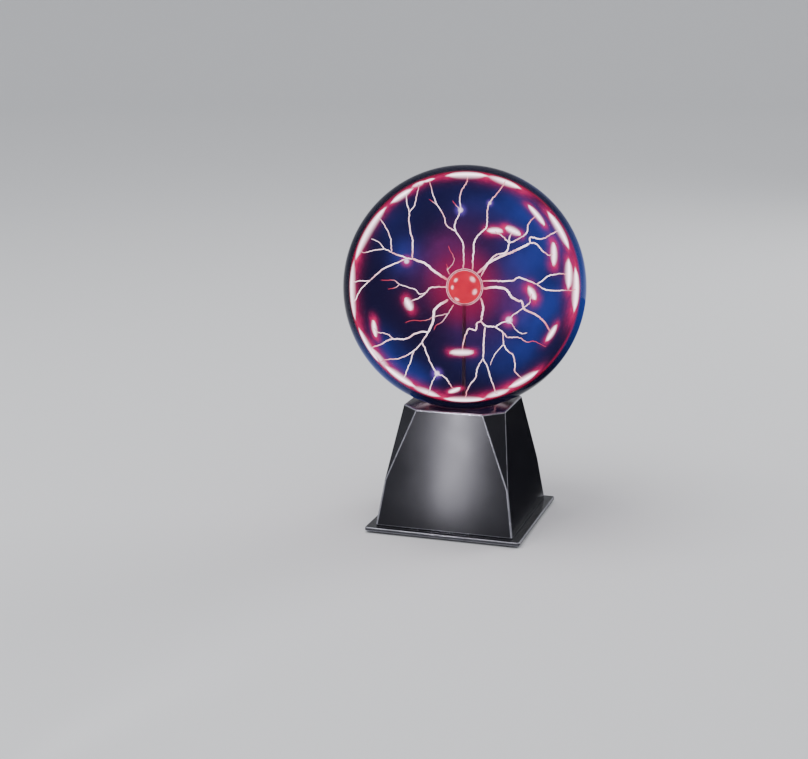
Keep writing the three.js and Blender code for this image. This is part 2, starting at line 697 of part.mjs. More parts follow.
function timerChip() {
  const [long, wide, bottom, top] = [9.6, 6.4, 0.8, 4.2];
  const legs = [];
  for (const side of [-1, 1]) {
    for (let i = 0; i < 4; i += 1) {
      const x = (i - 1.5) * 2.54;
      const ends = [side * (wide / 2 - 0.2), side * (wide / 2 + 0.8)].sort((a, b) => a - b);
      const drop = [side * (wide / 2 + 0.5), side * (wide / 2 + 0.8)].sort((a, b) => a - b);
      legs.push(block([x - 0.5, ends[0], 2.2], [x + 0.5, ends[1], 2.5]));
      legs.push(block([x - 0.25, drop[0], GAP], [x + 0.25, drop[1], 2.5]));
    }
  }
  return join(block([-long / 2, -wide / 2, bottom], [long / 2, wide / 2, top]), ...legs);
}

function resistor() {
  const [reach, high] = [5.2, 2];
  const body = turned([
    [0, -3.3], [0.9, -3.3], [1.3, -2.9], [1.3, -1.9], [1.05, -1.5], [1.05, 1.5], [1.3, 1.9],
    [1.3, 2.9], [0.9, 3.3], [0, 3.3],
  ], 12).rotateY(Math.PI / 2).translate(0, 0, high);
  const lead = wire([
    [-reach, 0, GAP], [-reach, 0, high - 0.9], [-reach + 0.9, 0, high], [0, 0, high],
    [reach - 0.9, 0, high], [reach, 0, high - 0.9], [reach, 0, GAP],
  ], 0.35, 18);
  return join(body, lead);
}

function driver() {
  const group = new THREE.Group();
  group.position.z = BOARD_TOP;
  group.add(
    part("driver_board", driverBoard(), FINISHES.board),
    transformer(),
    heatSink(),
    part("supply_capacitor", canCapacitor(6.3, 20), FINISHES.sleeve, [-25, 13, GAP]),
    part("filter_capacitor", canCapacitor(4, 12), FINISHES.sleeve, [-28, -8, GAP]),
    part("film_capacitor", block([-6.5, -3, 0], [6.5, 3, 11]), FINISHES.film, [-25, -20, GAP]),
    part("timer_chip", timerChip(), FINISHES.chip, [5, 18, 0]),
  );
  [-15.5, -21].forEach((y, i) => {
    group.add(part(`resistor_${i + 1}`, resistor(), FINISHES.resistor, [22, y, 0]));
  });
  boardScrewPlaces().forEach(([x, y], i) => {
    group.add(
      part(`board_screw_${i + 1}`, screw(2.5, 1.7, 0.8, 7), FINISHES.steel, [x, y, GAP],
        [Math.PI, 0, 0]),
    );
  });
  return group;
}

// ---- Wires: each runs from the piece it is soldered to as far as the board or electrode ----

function wires() {
  const coilTop = BOARD_TOP + COIL_HIGH + GAP;
  const toBoard = (x, y) => [[x, y, BOARD_TOP + 2.5], [x, y, BOARD_TOP + GAP + 0.1]];
  const jackBack = PANEL_IN + JACK.behind;
  const terminalEnd = PANEL_IN - 10.2;
  const leadEnd = GLOBE_CENTRE - ELECTRODE_RADIUS + 1 - GAP + 0.3;
  const group = new THREE.Group();
  const highVoltage = wire([
    [LEG_AT, 9, coilTop], [LEG_AT, 9, coilTop + 4], [LEG_AT - 3, 7, coilTop + 9],
    [3, 2, coilTop + 15], [0, 0, coilTop + 22], [0, 0, coilTop + 45], [0, 0, coilTop + 70],
    [0, 0, leadEnd],
  ], 1.3, 32, 8);
  group.add(
    part("high_voltage_lead", highVoltage, FINISHES.redWire),
    part("supply_wire_positive", wire([
      [JACK_X, jackBack - 3.4, CONTROLS_Z], [JACK_X, jackBack - 6, CONTROLS_Z - 0.4],
      [JACK_X + 1, jackBack - 9.5, CONTROLS_Z - 2.2], ...toBoard(JACK_X + 1.5, jackBack - 11.5),
    ], 0.75, 9), FINISHES.redWire),
    part("supply_wire_negative", wire([
      [JACK_X - 8.4, jackBack - 0.6, CONTROLS_Z], [JACK_X - 9.4, jackBack - 2, CONTROLS_Z - 0.3],
      [JACK_X - 8, jackBack - 7, CONTROLS_Z - 1.6], ...toBoard(JACK_X - 4, jackBack - 11.5),
    ], 0.75, 9), FINISHES.blackWire),
  );
  [0, 3.6].forEach((x, i) => {
    group.add(
      part(`switch_wire_${i + 1}`, wire([
        [SWITCH_X + x, terminalEnd, CONTROLS_Z], [SWITCH_X + x + 0.4, terminalEnd - 3, CONTROLS_Z - 0.8],
        [SWITCH_X + x + 2, terminalEnd - 8, CONTROLS_Z - 2.8],
        ...toBoard(SWITCH_X + x + 3, terminalEnd - 10),
      ], 0.75, 9), FINISHES.whiteWire),
    );
  });
  [-1.2, 1.2].forEach((x, i) => {
    group.add(
      part(`microphone_wire_${i + 1}`, wire([
        [MIC_X + x, PANEL_IN - 6.1, CONTROLS_Z], [MIC_X + x, PANEL_IN - 9, CONTROLS_Z - 1],
        [MIC_X + x, PANEL_IN - 17, CONTROLS_Z - 3], ...toBoard(MIC_X + x, PANEL_IN - 19.5),
      ], 0.5, 9), FINISHES.whiteWire),
    );
  });
  return group;
}

const plasmaBall = new THREE.Group();
plasmaBall.add(globe(), globeSeat(), base(), rearPanel(), driver(), wires());

export default plasmaBall;
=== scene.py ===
import math
import bmesh
import bpy
import numpy as np
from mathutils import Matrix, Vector


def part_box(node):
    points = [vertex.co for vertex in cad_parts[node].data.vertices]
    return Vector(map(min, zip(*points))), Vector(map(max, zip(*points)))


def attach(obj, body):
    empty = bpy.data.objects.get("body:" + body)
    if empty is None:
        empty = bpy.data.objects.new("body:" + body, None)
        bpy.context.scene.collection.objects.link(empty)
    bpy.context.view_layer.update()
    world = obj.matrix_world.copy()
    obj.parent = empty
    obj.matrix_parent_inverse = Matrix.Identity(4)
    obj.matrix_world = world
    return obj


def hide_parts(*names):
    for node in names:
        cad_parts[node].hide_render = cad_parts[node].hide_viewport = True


# Plasma ball, in metres. The front faces -Y; the rear panel with the switch and inlet faces +Y.
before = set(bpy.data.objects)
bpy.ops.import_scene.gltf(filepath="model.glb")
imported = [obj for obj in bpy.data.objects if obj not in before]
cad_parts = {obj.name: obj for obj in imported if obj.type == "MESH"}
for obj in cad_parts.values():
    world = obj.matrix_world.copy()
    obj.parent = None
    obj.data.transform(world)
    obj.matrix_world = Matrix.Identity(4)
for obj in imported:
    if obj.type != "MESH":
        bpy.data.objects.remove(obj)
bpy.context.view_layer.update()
print("frame loaded:", len(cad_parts), "nodes")

mm = 0.001
globeLow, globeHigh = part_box("globe_glass")
globeRadius = (globeHigh[0] - globeLow[0]) / 2
globeCentre = np.array([0, 0, globeHigh[2] - globeRadius])


# ---------- camera, floor and lights ----------

studio = {
    "viewAzimuth": 15.6,  # degrees round from the front
    "viewElevation": 9.9,
    "viewDistance": 1.05,
    "aimLeft": 0.0407,  # how far the aim lies to the left of the globe's centre
    "aimDown": 0.0632,
    "lens": 68.7,
    "floorRadius": 5.0,
    "floorBend": 1.5,  # radius of the curve from the floor up to the backdrop
    "backdropHigh": 2.4,
    "floorColor": (0.80, 0.80, 0.81),
    "worldColor": (0.90, 0.92, 0.96),
    "worldStrength": 0.80,
    # place, aim, size, watts, spread in degrees and color of each light
    "softboxes": {
        "overheadSoftbox": ((-0.5, -0.5, 1.7), (0, 0, 0.1), (1.2, 1.2), 16, 180, (1, 1, 1)),
        "frontStrip": ((-0.112, -0.472, 0.104), (0.006, -0.04, 0.090), (0.016, 0.184), 0.031, 30,
                       (0.91, 0.89, 1.0)),
        "backSoftbox": ((0.9, 1.3, 1.0), (0, 0, 0.1), (1.0, 0.8), 10, 180, (1, 1, 1)),
    },
    "cardLow": (0.058, -0.06),  # corners of the dark card on the floor
    "cardHigh": (0.45, 0.80),
    "cardUp": 0.0006,
}


def viewAxes():
    # right, up and towards the viewer, as unit vectors, for the angle the ball is shown from
    a, e = math.radians(studio["viewAzimuth"]), math.radians(studio["viewElevation"])
    right = np.array([math.cos(a), math.sin(a), 0])
    towards = np.array([math.sin(a) * math.cos(e), -math.cos(a) * math.cos(e), math.sin(e)])
    return right, np.cross(towards, right), towards


def makeCamera():
    right, up, towards = viewAxes()
    place = globeCentre + towards * studio["viewDistance"]
    aim = globeCentre - right * studio["aimLeft"] - up * studio["aimDown"]
    data = bpy.data.cameras.new("camera")
    data.lens = studio["lens"]
    data.clip_end = 60
    camera = bpy.data.objects.new("camera", data)
    camera.location = place
    camera.rotation_mode = "QUATERNION"
    camera.rotation_quaternion = Vector(aim - place).to_track_quat("-Z", "Y")
    bpy.context.scene.collection.objects.link(camera)
    bpy.context.scene.camera = camera


def makeSoftbox(name, place, aim, size, power, spread, color):
    data = bpy.data.lights.new(name, "AREA")
    data.shape = "RECTANGLE"
    data.size, data.size_y = size
    data.energy, data.color = power, color
    data.spread = math.radians(spread)
    lamp = bpy.data.objects.new(name, data)
    lamp.visible_camera = False
    lamp.location = place
    lamp.rotation_mode = "QUATERNION"
    lamp.rotation_quaternion = (Vector(aim) - Vector(place)).to_track_quat("-Z", "Y")
    bpy.context.scene.collection.objects.link(lamp)


def makeStageObject(name, mesh, color):
    # Paper or card round the object, which isn't part of it
    thing = bpy.data.objects.new(name, mesh)
    bpy.context.scene.collection.objects.link(thing)
    material, tree, shader = newMaterial(name + "Paper")
    feed(tree, shader, {"Base Color": (*color, 1), "Roughness": 1.0, "Specular IOR Level": 0.0})
    mesh.materials.append(material)
    return thing


def makeDarkCard():
    # A black card on the floor that only reflections see, to keep the glossy side dark
    (x0, y0), (x1, y1), z = studio["cardLow"], studio["cardHigh"], studio["cardUp"]
    corners = np.array([(x0, y0, z), (x1, y0, z), (x1, y1, z), (x0, y1, z)])
    card = makeStageObject("darkCard", makeMesh("darkCard", corners, np.array([[0, 1, 2, 3]])),
                           (0.002, 0.002, 0.002))
    for kind in ("camera", "diffuse", "shadow", "transmission", "volume_scatter"):
        setattr(card, "visible_" + kind, False)


def makeFloor():
    # A round pale floor that curves up into a low backdrop all the way round
    radius, bend = studio["floorRadius"], studio["floorBend"]
    profile = np.array([[0, 0], [0.3, 0], [1, 0], [2.5, 0],
                        *arcPoints((radius, bend), bend, -90, 0, 16),
                        [radius + bend, studio["backdropHigh"]]])
    around = np.linspace(0, 2 * math.pi, 96, endpoint=False)
    x, y = profile[:, 0, None] * np.cos(around), profile[:, 0, None] * np.sin(around)
    points = np.stack([x, y, np.broadcast_to(profile[:, 1, None], x.shape)], -1).reshape(-1, 3)
    mesh = makeMesh("floor", points, gridQuads(len(profile), len(around)))
    makeStageObject("floor", mesh, studio["floorColor"])


def makeStudio():
    world = bpy.data.worlds.new("studioWorld")
    world.use_nodes = True
    background = world.node_tree.nodes["Background"]
    background.inputs["Color"].default_value = (*studio["worldColor"], 1)
    background.inputs["Strength"].default_value = studio["worldStrength"]
    bpy.context.scene.world = world
    for name, settings in studio["softboxes"].items():
        makeSoftbox(name, *settings)
    makeDarkCard()
    makeFloor()


# ---------- mesh helpers ----------

def gridQuads(rows, columns, wrapRows=False, wrapColumns=True):
    # Corner numbers of the quads between neighbouring rows and columns of a grid of points
    i = np.arange(rows if wrapRows else rows - 1)[:, None]
    j = np.arange(columns if wrapColumns else columns - 1)[None, :]
    down, across = (i + 1) % rows, (j + 1) % columns
    corners = (i * columns + j, i * columns + across, down * columns + across, down * columns + j)
    return np.stack(np.broadcast_arrays(*corners), axis=-1).reshape(-1, 4)


def makeMesh(name, points, quads, floats=None):
    # floats holds values for each point, which a material reads by name
    mesh = bpy.data.meshes.new(name)
    mesh.vertices.add(len(points))
    mesh.vertices.foreach_set("co", np.ascontiguousarray(points, np.float32).ravel())
    mesh.loops.add(quads.size)
    mesh.loops.foreach_set("vertex_index", quads.astype(np.int32).ravel())
    mesh.polygons.add(len(quads))
    mesh.polygons.foreach_set("loop_start", np.arange(0, quads.size, 4, dtype=np.int32))
    mesh.update(calc_edges=True)
    for key, values in (floats or {}).items():
        made = mesh.attributes.new(key, "FLOAT", "POINT")
        made.data.foreach_set("value", np.asarray(values, np.float32).ravel())
    return mesh


def closeMesh(mesh, sharpAngle=None, turnOut=True):
    # Merges the points that meet at poles and seams, drops faces left with no area, and points
    # the rest outwards. Edges that turn more than sharpAngle are kept crisp.
    work = bmesh.new()
    work.from_mesh(mesh)
    bmesh.ops.remove_doubles(work, verts=work.verts, dist=2e-6)
    bmesh.ops.dissolve_degenerate(work, edges=work.edges, dist=1e-7)
    if turnOut:
        bmesh.ops.recalc_face_normals(work, faces=work.faces)
    for face in work.faces:
        face.smooth = True
    if sharpAngle is not None:
        for edge in work.edges:
            edge.smooth = edge.calc_face_angle(0) < math.radians(sharpAngle)
    work.to_mesh(mesh)
    work.free()
    mesh.update()


def addPiece(name, mesh, materials, body="body", replaces=()):
    piece = bpy.data.objects.new(name, mesh)
    bpy.context.scene.collection.objects.link(piece)
    for material in materials:
        mesh.materials.append(material)
    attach(piece, body)
    if replaces:
        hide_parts(*replaces)
    return piece


def evenNormals(piece):
    # Large flat faces keep their own direction, so only the rounded edges shade as rounded
    weighted = piece.modifiers.new("evenNormals", "WEIGHTED_NORMAL")
    weighted.keep_sharp = True
    weighted.weight = 80


def arcPoints(centre, radius, start, end, steps):
    # [radius, height] points on an arc, with angles in degrees up from outwards
    angle = np.radians(np.linspace(start, end, steps))
    return np.stack([centre[0] + radius * np.cos(angle), centre[1] + radius * np.sin(angle)], 1)


def turnedMesh(name, profile, columns, places=((0, 0, 0),), axis=2, sharpAngle=32):
    # Each profile point [radius, height] is carried round the axis at every place. Heights run up
    # axis 2, or out of the rear along axis 1.
    profile = np.asarray(profile, float)
    around = np.linspace(0, 2 * math.pi, columns, endpoint=False)
    x = profile[:, 0, None] * np.cos(around)
    y = profile[:, 0, None] * np.sin(around)
    z = np.broadcast_to(profile[:, 1, None], x.shape)
    shape = np.stack([x, y, z] if axis == 2 else [x, z, -y], -1).reshape(-1, 3)
    quads = gridQuads(len(profile), columns)
    points = np.concatenate([shape + np.asarray(place) for place in places])
    quads = np.concatenate([quads + k * len(shape) for k in range(len(places))])
    mesh = makeMesh(name, points, quads)
    closeMesh(mesh, sharpAngle)
    return mesh


# ---------- shader helpers ----------

def newMaterial(name):
    material = bpy.data.materials.new(name)
    material.use_nodes = True
    tree = material.node_tree
    tree.nodes.clear()
    output = tree.nodes.new("ShaderNodeOutputMaterial")
    shader = tree.nodes.new("ShaderNodeBsdfPrincipled")
    tree.links.new(shader.outputs["BSDF"], output.inputs["Surface"])
    return material, tree, shader


def feed(tree, node, inputs):
    # Links the sockets in inputs, and sets the plain values, by the name or number of each input
    for key, value in inputs.items():
        if isinstance(value, bpy.types.NodeSocket):
            tree.links.new(value, node.inputs[key])
        else:
            node.inputs[key].default_value = value
    return node


def addNode(tree, kind, inputs=None, **settings):
    node = tree.nodes.new(kind)
    for key, value in settings.items():
        setattr(node, key, value)
    return feed(tree, node, inputs or {})


def mixColors(tree, factor, a, b, blend="MIX"):
    return addNode(tree, "ShaderNodeMix", {0: factor, 6: a, 7: b},
                   data_type="RGBA", blend_type=blend).outputs[2]


def math2(tree, operation, a, b=0.0, clamp=False):
    node = addNode(tree, "ShaderNodeMath", {0: a, 1: b}, operation=operation, use_clamp=clamp)
    return node.outputs[0]


def softStep(tree, value, low, high, atLow=0.0, atHigh=1.0):
    node = addNode(tree, "ShaderNodeMapRange", {0: value, 1: low, 2: high, 3: atLow, 4: atHigh},
                   interpolation_type="SMOOTHSTEP")
    return node.outputs[0]


def objectSpace(tree):
    return addNode(tree, "ShaderNodeTexCoord").outputs["Object"]


def readValue(tree, name):
    return addNode(tree, "ShaderNodeAttribute", attribute_name=name).outputs["Fac"]


def turnedAway(tree):
    # 0 where the surface faces the eye, 1 where it is edge-on
    return addNode(tree, "ShaderNodeLayerWeight", {"Blend": 0.5}).outputs["Facing"]


def noise(tree, place, scale, detail, **more):
    return addNode(tree, "ShaderNodeTexNoise",
                   {"Vector": place, "Scale": scale, "Detail": detail, **more}).outputs["Fac"]


def roundSpots(tree, place, spots, full, joined):
    # Soft round spots: each has a centre, the radius where it has faded out, and an amount
    total = None
    for centre, radius, amount in spots:
        away = addNode(tree, "ShaderNodeVectorMath", {0: place, 1: centre}, operation="DISTANCE")
        here = softStep(tree, away.outputs["Value"], full, radius, amount, 0)
        total = here if total is None else math2(tree, joined, total, here)
    return total


def newGroup(name, inputs, outputs):
    group = bpy.data.node_groups.new(name, "ShaderNodeTree")
    for key, kind, value in inputs:
        socket = group.interface.new_socket(key, in_out="INPUT", socket_type=kind)
        if value is not None:
            socket.default_value = value
    for key, kind in outputs:
        group.interface.new_socket(key, in_out="OUTPUT", socket_type=kind)
    given, result = group.nodes.new("NodeGroupInput"), group.nodes.new("NodeGroupOutput")
    return group, given.outputs, result.inputs


def makeGrainGroup():
    # Fine moulded or cast grain: a colour that drifts between two tones, a roughness and a height
    group, given, result = newGroup(
        "surfaceGrain",
        [("Coordinates", "NodeSocketVector", None), ("Scale", "NodeSocketFloat", 900.0),
         ("Tone A", "NodeSocketColor", None), ("Tone B", "NodeSocketColor", None),
         ("Smooth", "NodeSocketFloat", 0.3), ("Rough", "NodeSocketFloat", 0.45)],
        [("Color", "NodeSocketColor"), ("Roughness", "NodeSocketFloat"),
         ("Height", "NodeSocketFloat")])
    fine = noise(group, given["Coordinates"], given["Scale"], 4.0)
    slow = noise(group, given["Coordinates"], 28.0, 5.0, Roughness=0.6)
    drift = softStep(group, slow, 0.34, 0.68)
    group.links.new(mixColors(group, drift, given["Tone A"], given["Tone B"]), result["Color"])
    speck = math2(group, "MULTIPLY", math2(group, "SUBTRACT", fine, 0.5), 0.12)
    rough = addNode(group, "ShaderNodeMapRange",
                    {0: drift, 3: given["Smooth"], 4: given["Rough"]}).outputs[0]
    group.links.new(math2(group, "ADD", rough, speck, clamp=True), result["Roughness"])
    group.links.new(fine, result["Height"])
    return group


def makeDustGroup():
    # Fine dust that settles where a surface faces up
    group, given, result = newGroup(
        "settledDust",
        [("Coordinates", "NodeSocketVector", None), ("Amount", "NodeSocketFloat", 0.2)],
        [("Mask", "NodeSocketFloat")])
    normal = addNode(group, "ShaderNodeSeparateXYZ",
                     {0: addNode(group, "ShaderNodeNewGeometry").outputs["Normal"]})
    up = softStep(group, normal.outputs["Z"], 0.55, 0.98)
    patches = softStep(group, noise(group, given["Coordinates"], 420.0, 6.0), 0.42, 0.72)
    mask = math2(group, "MULTIPLY", math2(group, "MULTIPLY", up, patches), given["Amount"])
    group.links.new(mask, result["Mask"])
    return group


def makeFlickerGroup():
    # A slow flicker over glowing gas: a value near one that wanders over the surface
    group, given, result = newGroup(
        "gasFlicker",
        [("Coordinates", "NodeSocketVector", None), ("Scale", "NodeSocketFloat", 30.0),
         ("Low", "NodeSocketFloat", 0.7), ("High", "NodeSocketFloat", 1.2)],
        [("Value", "NodeSocketFloat")])
    wander = noise(group, given["Coordinates"], given["Scale"], 3.0)
    value = addNode(group, "ShaderNodeMapRange",
                    {0: wander, 1: 0.3, 2: 0.7, 3: given["Low"], 4: given["High"]})
    group.links.new(value.outputs[0], result["Value"])
    return group


grainGroup = makeGrainGroup()
dustGroup = makeDustGroup()
flickerGroup = makeFlickerGroup()


def placeGroup(tree, group, inputs):
    return addNode(tree, "ShaderNodeGroup", inputs, node_tree=group).outputs


def flicker(tree, place, scale, low, high):
    return placeGroup(tree, flickerGroup, {"Coordinates": place, "Scale": scale,
                                           "Low": low, "High": high})["Value"]


def makeGrained(name, toneA, toneB, smooth, rough, scale=900.0, bump=0.1, dust=0.0, metal=0.0):
    # A solid finish: grain, drifting tone and roughness, and dust on top
    material, tree, shader = newMaterial(name)
    place = objectSpace(tree)
    grain = placeGroup(tree, grainGroup, {
        "Coordinates": place, "Scale": scale, "Tone A": (*toneA, 1), "Tone B": (*toneB, 1),
        "Smooth": smooth, "Rough": rough})
    color, roughness = grain["Color"], grain["Roughness"]
    if dust:
        mask = placeGroup(tree, dustGroup, {"Coordinates": place, "Amount": dust})["Mask"]
        color = mixColors(tree, mask, color, (0.55, 0.54, 0.52, 1))
        roughness = math2(tree, "ADD", roughness, mask, clamp=True)
    relief = addNode(tree, "ShaderNodeBump",
                     {"Height": grain["Height"], "Strength": bump, "Distance": 0.0002})
    feed(tree, shader, {"Base Color": color, "Roughness": roughness,
                        "Normal": relief.outputs["Normal"], "Metallic": metal})
    return material, tree, shader


# ---------- base housing ----------

housing = {
    "deckHalf": 35.6 * mm,
    "deckChamfer": 12.6 * mm,
    "facetPoint": 34.0 * mm,  # height where each corner facet comes to its point
    "wall": 2.2 * mm,
    "deckWall": 2.4 * mm,
    "edgeRound": 0.7 * mm,
    "seatRadius": 25.4 * mm,
    "seatFloor": 81.2 * mm,
    "seatHole": 21.2 * mm,
    "seatRing": 28.0 * mm,
    "seatRingBottom": 78.4 * mm,
    "flatStops": (0.008, 0.17, 0.335, 0.5, 0.665, 0.83, 0.992),
    "arcStops": 5,
    "outsideRows": 27,  # how many rows the outside takes, up to the deck's rounded edge
    "intoWall": 1.1 * mm,  # joined shapes end this deep inside the thickness of the wall
    "bossRadius": 4.0 * mm,
    "bossLow": 8.3 * mm,
    "bossHigh": 29.0 * mm,
    "bossBore": (1.7 * mm, 26.0 * mm),  # radius and top
    "ribHalf": 0.8 * mm,
    "collarBoss": (3.6 * mm, 76.3 * mm, 83.4 * mm),  # radius, bottom and top
    "collarBore": (1.25 * mm, 82.0 * mm),
    "recessCorner": 1.2 * mm,
    "slotHalf": (4.3 * mm, 2.0 * mm),
}


def roundedOutline(half, chamfer, radius):
    # A square of a given half-width for each row, with its corners cut off by chamfer and every
    # corner rounded. Arc centres lie on the outline drawn in by the radius; flats join the arcs.
    half, chamfer, radius = (np.asarray(v, float)[:, None] for v in (half, chamfer, radius))
    inner = half - radius
    cutBack = np.maximum(chamfer - radius * (2 - math.sqrt(2)), 0)
    bend = np.radians(np.linspace(0, 45, housing["arcStops"]))[None, :]
    firstArc = np.stack([inner + radius * np.cos(bend),
                         inner - cutBack + radius * np.sin(bend)], -1)
    turn = bend + math.pi / 4
    lastArc = np.stack([inner - cutBack + radius * np.cos(turn), inner + radius * np.sin(turn)], -1)
    stops = np.array(housing["flatStops"])[None, :, None]
    facet = firstArc[:, -1:] * (1 - stops) + lastArc[:, :1] * stops
    nextStart = np.stack([-firstArc[:, 0, 1], firstArc[:, 0, 0]], -1)[:, None]
    flat = lastArc[:, -1:] * (1 - stops) + nextStart * stops
    quarter = np.concatenate([firstArc, facet, lastArc, flat], axis=1)
    turns = []
    for _ in range(4):
        turns.append(quarter)
        quarter = np.stack([-quarter[..., 1], quarter[..., 0]], -1)
    return np.concatenate(turns, axis=1)


def edgeColumns():
    # 1 on the columns of the outline that lie on a rounded corner, 0 on those of a flat
    arc, flat = np.ones(housing["arcStops"]), np.zeros(len(housing["flatStops"]))
    return np.tile(np.concatenate([arc, flat, arc, flat]), 4)


def housingSide(z):
    # Half the width of the outside at a height: it narrows evenly up to the deck
    low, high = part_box("base_housing")
    return high[0] + (housing["deckHalf"] - high[0]) * (z - low[2]) / (high[2] - low[2])


def housingRows():
    # Rows of the closed wall, from the foot of the outside up, over the deck, down the globe's
    # seat and back down the inside. Each has a half-width, chamfer, corner radius, height,
    # how far it has changed into a circle, that circle's radius, and an edge value.
    low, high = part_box("base_housing")
    bottom, top = low[2], high[2]
    h = housing
    side = housingSide
    facetLow = math.sqrt(2) * side(h["facetPoint"])
    facetHigh = (2 * h["deckHalf"] - h["deckChamfer"]) / math.sqrt(2)
    upFacet = lambda z: (z - h["facetPoint"]) / (top - h["facetPoint"])
    facet = lambda z: facetLow + (facetHigh - facetLow) * upFacet(z)
    chamfer = lambda z, inset=0: max(
        2 * (side(z) - inset) - math.sqrt(2) * (facet(z) - inset * 1.06), 0)
    r = h["edgeRound"]
    rows = []
    for angle in (0, 30, 60, 90):  # rounded foot of the outside
        inset = r * (1 - math.sin(math.radians(angle))) * 0.6
        z = bottom + r * (1 - math.cos(math.radians(angle))) * 0.6
        rows.append((side(z) - inset, 0, r, z, 0, 0, 1))
    rows.append((side(bottom + r), 0, r, bottom + r, 0, 0, 0))
    for t in (0.2, 0.4, 0.7, 0.9, 0.97):
        z = bottom + (h["facetPoint"] - bottom) * t
        rows.append((side(z), 0, r, z, 0, 0, 0))
    lean = top - r - h["facetPoint"]
    for t in (0, 0.012, 0.03, 0.06, 0.12, 0.25, 0.4, 0.55, 0.7, 0.85, 0.96, 0.992):
        z = h["facetPoint"] + lean * t
        rows.append((side(z), chamfer(z), r, z, 0, 0, 0))
    for angle in (0, 22, 45, 68, 90):  # rounded edge of the deck
        inset = r * (1 - math.cos(math.radians(angle)))
        z = top - r * (1 - math.sin(math.radians(angle)))
        rows.append((side(z) - inset, chamfer(z) - inset * 0.586, r, z, 0, 0, 1))
    deck = (h["deckHalf"] - r, h["deckChamfer"] - r * 0.586, r, top)
    rim = h["seatRadius"] + 0.5 * mm
    rows += [(*deck, t, rim, 0) for t in (0.03, 0.3, 0.65, 0.97)]
    rows.append((*deck, 1, rim, 1))
    rows.append((*deck[:3], top - 0.15 * mm, 1, rim - 0.35 * mm, 1))
    rows.append((*deck[:3], top - 0.5 * mm, 1, h["seatRadius"], 1))
    for radius, z in ((h["seatRadius"], top - 0.8 * mm), (h["seatRadius"], h["seatFloor"]),
                      (h["seatHole"], h["seatFloor"]), (h["seatHole"], h["seatRingBottom"]),
                      (h["seatRing"], h["seatRingBottom"]), (h["seatRing"], top - h["deckWall"])):
        rows.append((*deck[:3], z, 1, radius, 0))
    ceiling, wall = top - h["deckWall"], h["wall"]
    for t in (0, 0.3, 0.6, 0.85, 1):
        z = ceiling + (bottom - ceiling) * t
        rows.append((side(z) - wall, chamfer(z, wall), r, z, 0, 0, 0))
    return np.array(rows)


def housingMesh():
    rows = housingRows()
    outline = roundedOutline(rows[:, 0], rows[:, 1], rows[:, 2])
    angle = np.arctan2(outline[..., 1], outline[..., 0])
    circle = np.stack([np.cos(angle), np.sin(angle)], -1) * rows[:, 5, None, None]
    flat = outline * (1 - rows[:, 4, None, None]) + circle * rows[:, 4, None, None]
    z = np.broadcast_to(rows[:, 3, None], flat.shape[:2])
    points = np.concatenate([flat, z[..., None]], -1).reshape(-1, 3)
    onWall = (rows[:, 4, None] == 0) & (np.arange(len(rows))[:, None] < housing["outsideRows"])
    edge = np.maximum(rows[:, 6, None], edgeColumns()[None, :] * onWall)
    mesh = makeMesh("housing", points, gridQuads(*flat.shape[:2], wrapRows=True), {"edge": edge})
    closeMesh(mesh, 50)
    return mesh


def pushedShape(outline, start, end, axis):
    # A convex outline of pairs pushed along an axis from start to end, with both ends closed. The
    # pair gives the other two coordinates in the order X, Y, Z.
    outline = np.asarray(outline, float)
    middle = outline.mean(0)
    rows = []
    for scale, along in ((0, start), (1, start), (1, end), (0, end)):
        flat = middle + (outline - middle) * scale
        rows.append(np.insert(flat, axis, along, axis=1))
    mesh = makeMesh("shape", np.concatenate(rows), gridQuads(4, len(outline)))
    closeMesh(mesh)
    return bpy.data.objects.new("shape", mesh)


def roundedBox(low, high, radius=0.05 * mm, stops=5):
    # The outline of a rectangle with rounded corners
    low, high = np.asarray(low), np.asarray(high)
    quarters = np.radians([0, 90, 180, 270])[:, None, None]
    bend = np.radians(np.linspace(0, 90, stops))[None, :, None] + quarters
    signs = np.array([[1, 1], [-1, 1], [-1, -1], [1, -1]])[:, None, :]
    centre = (low + high) / 2 + signs * ((high - low) / 2 - radius)
    return (centre + radius * np.concatenate([np.cos(bend), np.sin(bend)], -1)).reshape(-1, 2)


def roundOutline(x, y, radius, columns=40):
    around = np.linspace(0, 2 * math.pi, columns, endpoint=False)
    return np.stack([x + radius * np.cos(around), y + radius * np.sin(around)], 1)


def shapePiece(piece, added, removed):
    # Joins shapes to the piece, takes others out of it, and writes the result back as its mesh
    tools = added + removed
    for tool in tools:
        bpy.context.scene.collection.objects.link(tool)
        step = piece.modifiers.new("shape", "BOOLEAN")
        step.object, step.solver = tool, "EXACT"
        step.operation = "UNION" if tool in added else "DIFFERENCE"
    shaped = bpy.data.meshes.new_from_object(
        piece.evaluated_get(bpy.context.evaluated_depsgraph_get()))
    old, piece.data = piece.data, shaped
    piece.modifiers.clear()
    shaped.name = piece.name
    bpy.data.meshes.remove(old)
    for tool in tools:
        mesh = tool.data
        bpy.data.objects.remove(tool)
        bpy.data.meshes.remove(mesh)
    closeMesh(piece.data, 50, turnOut=False)


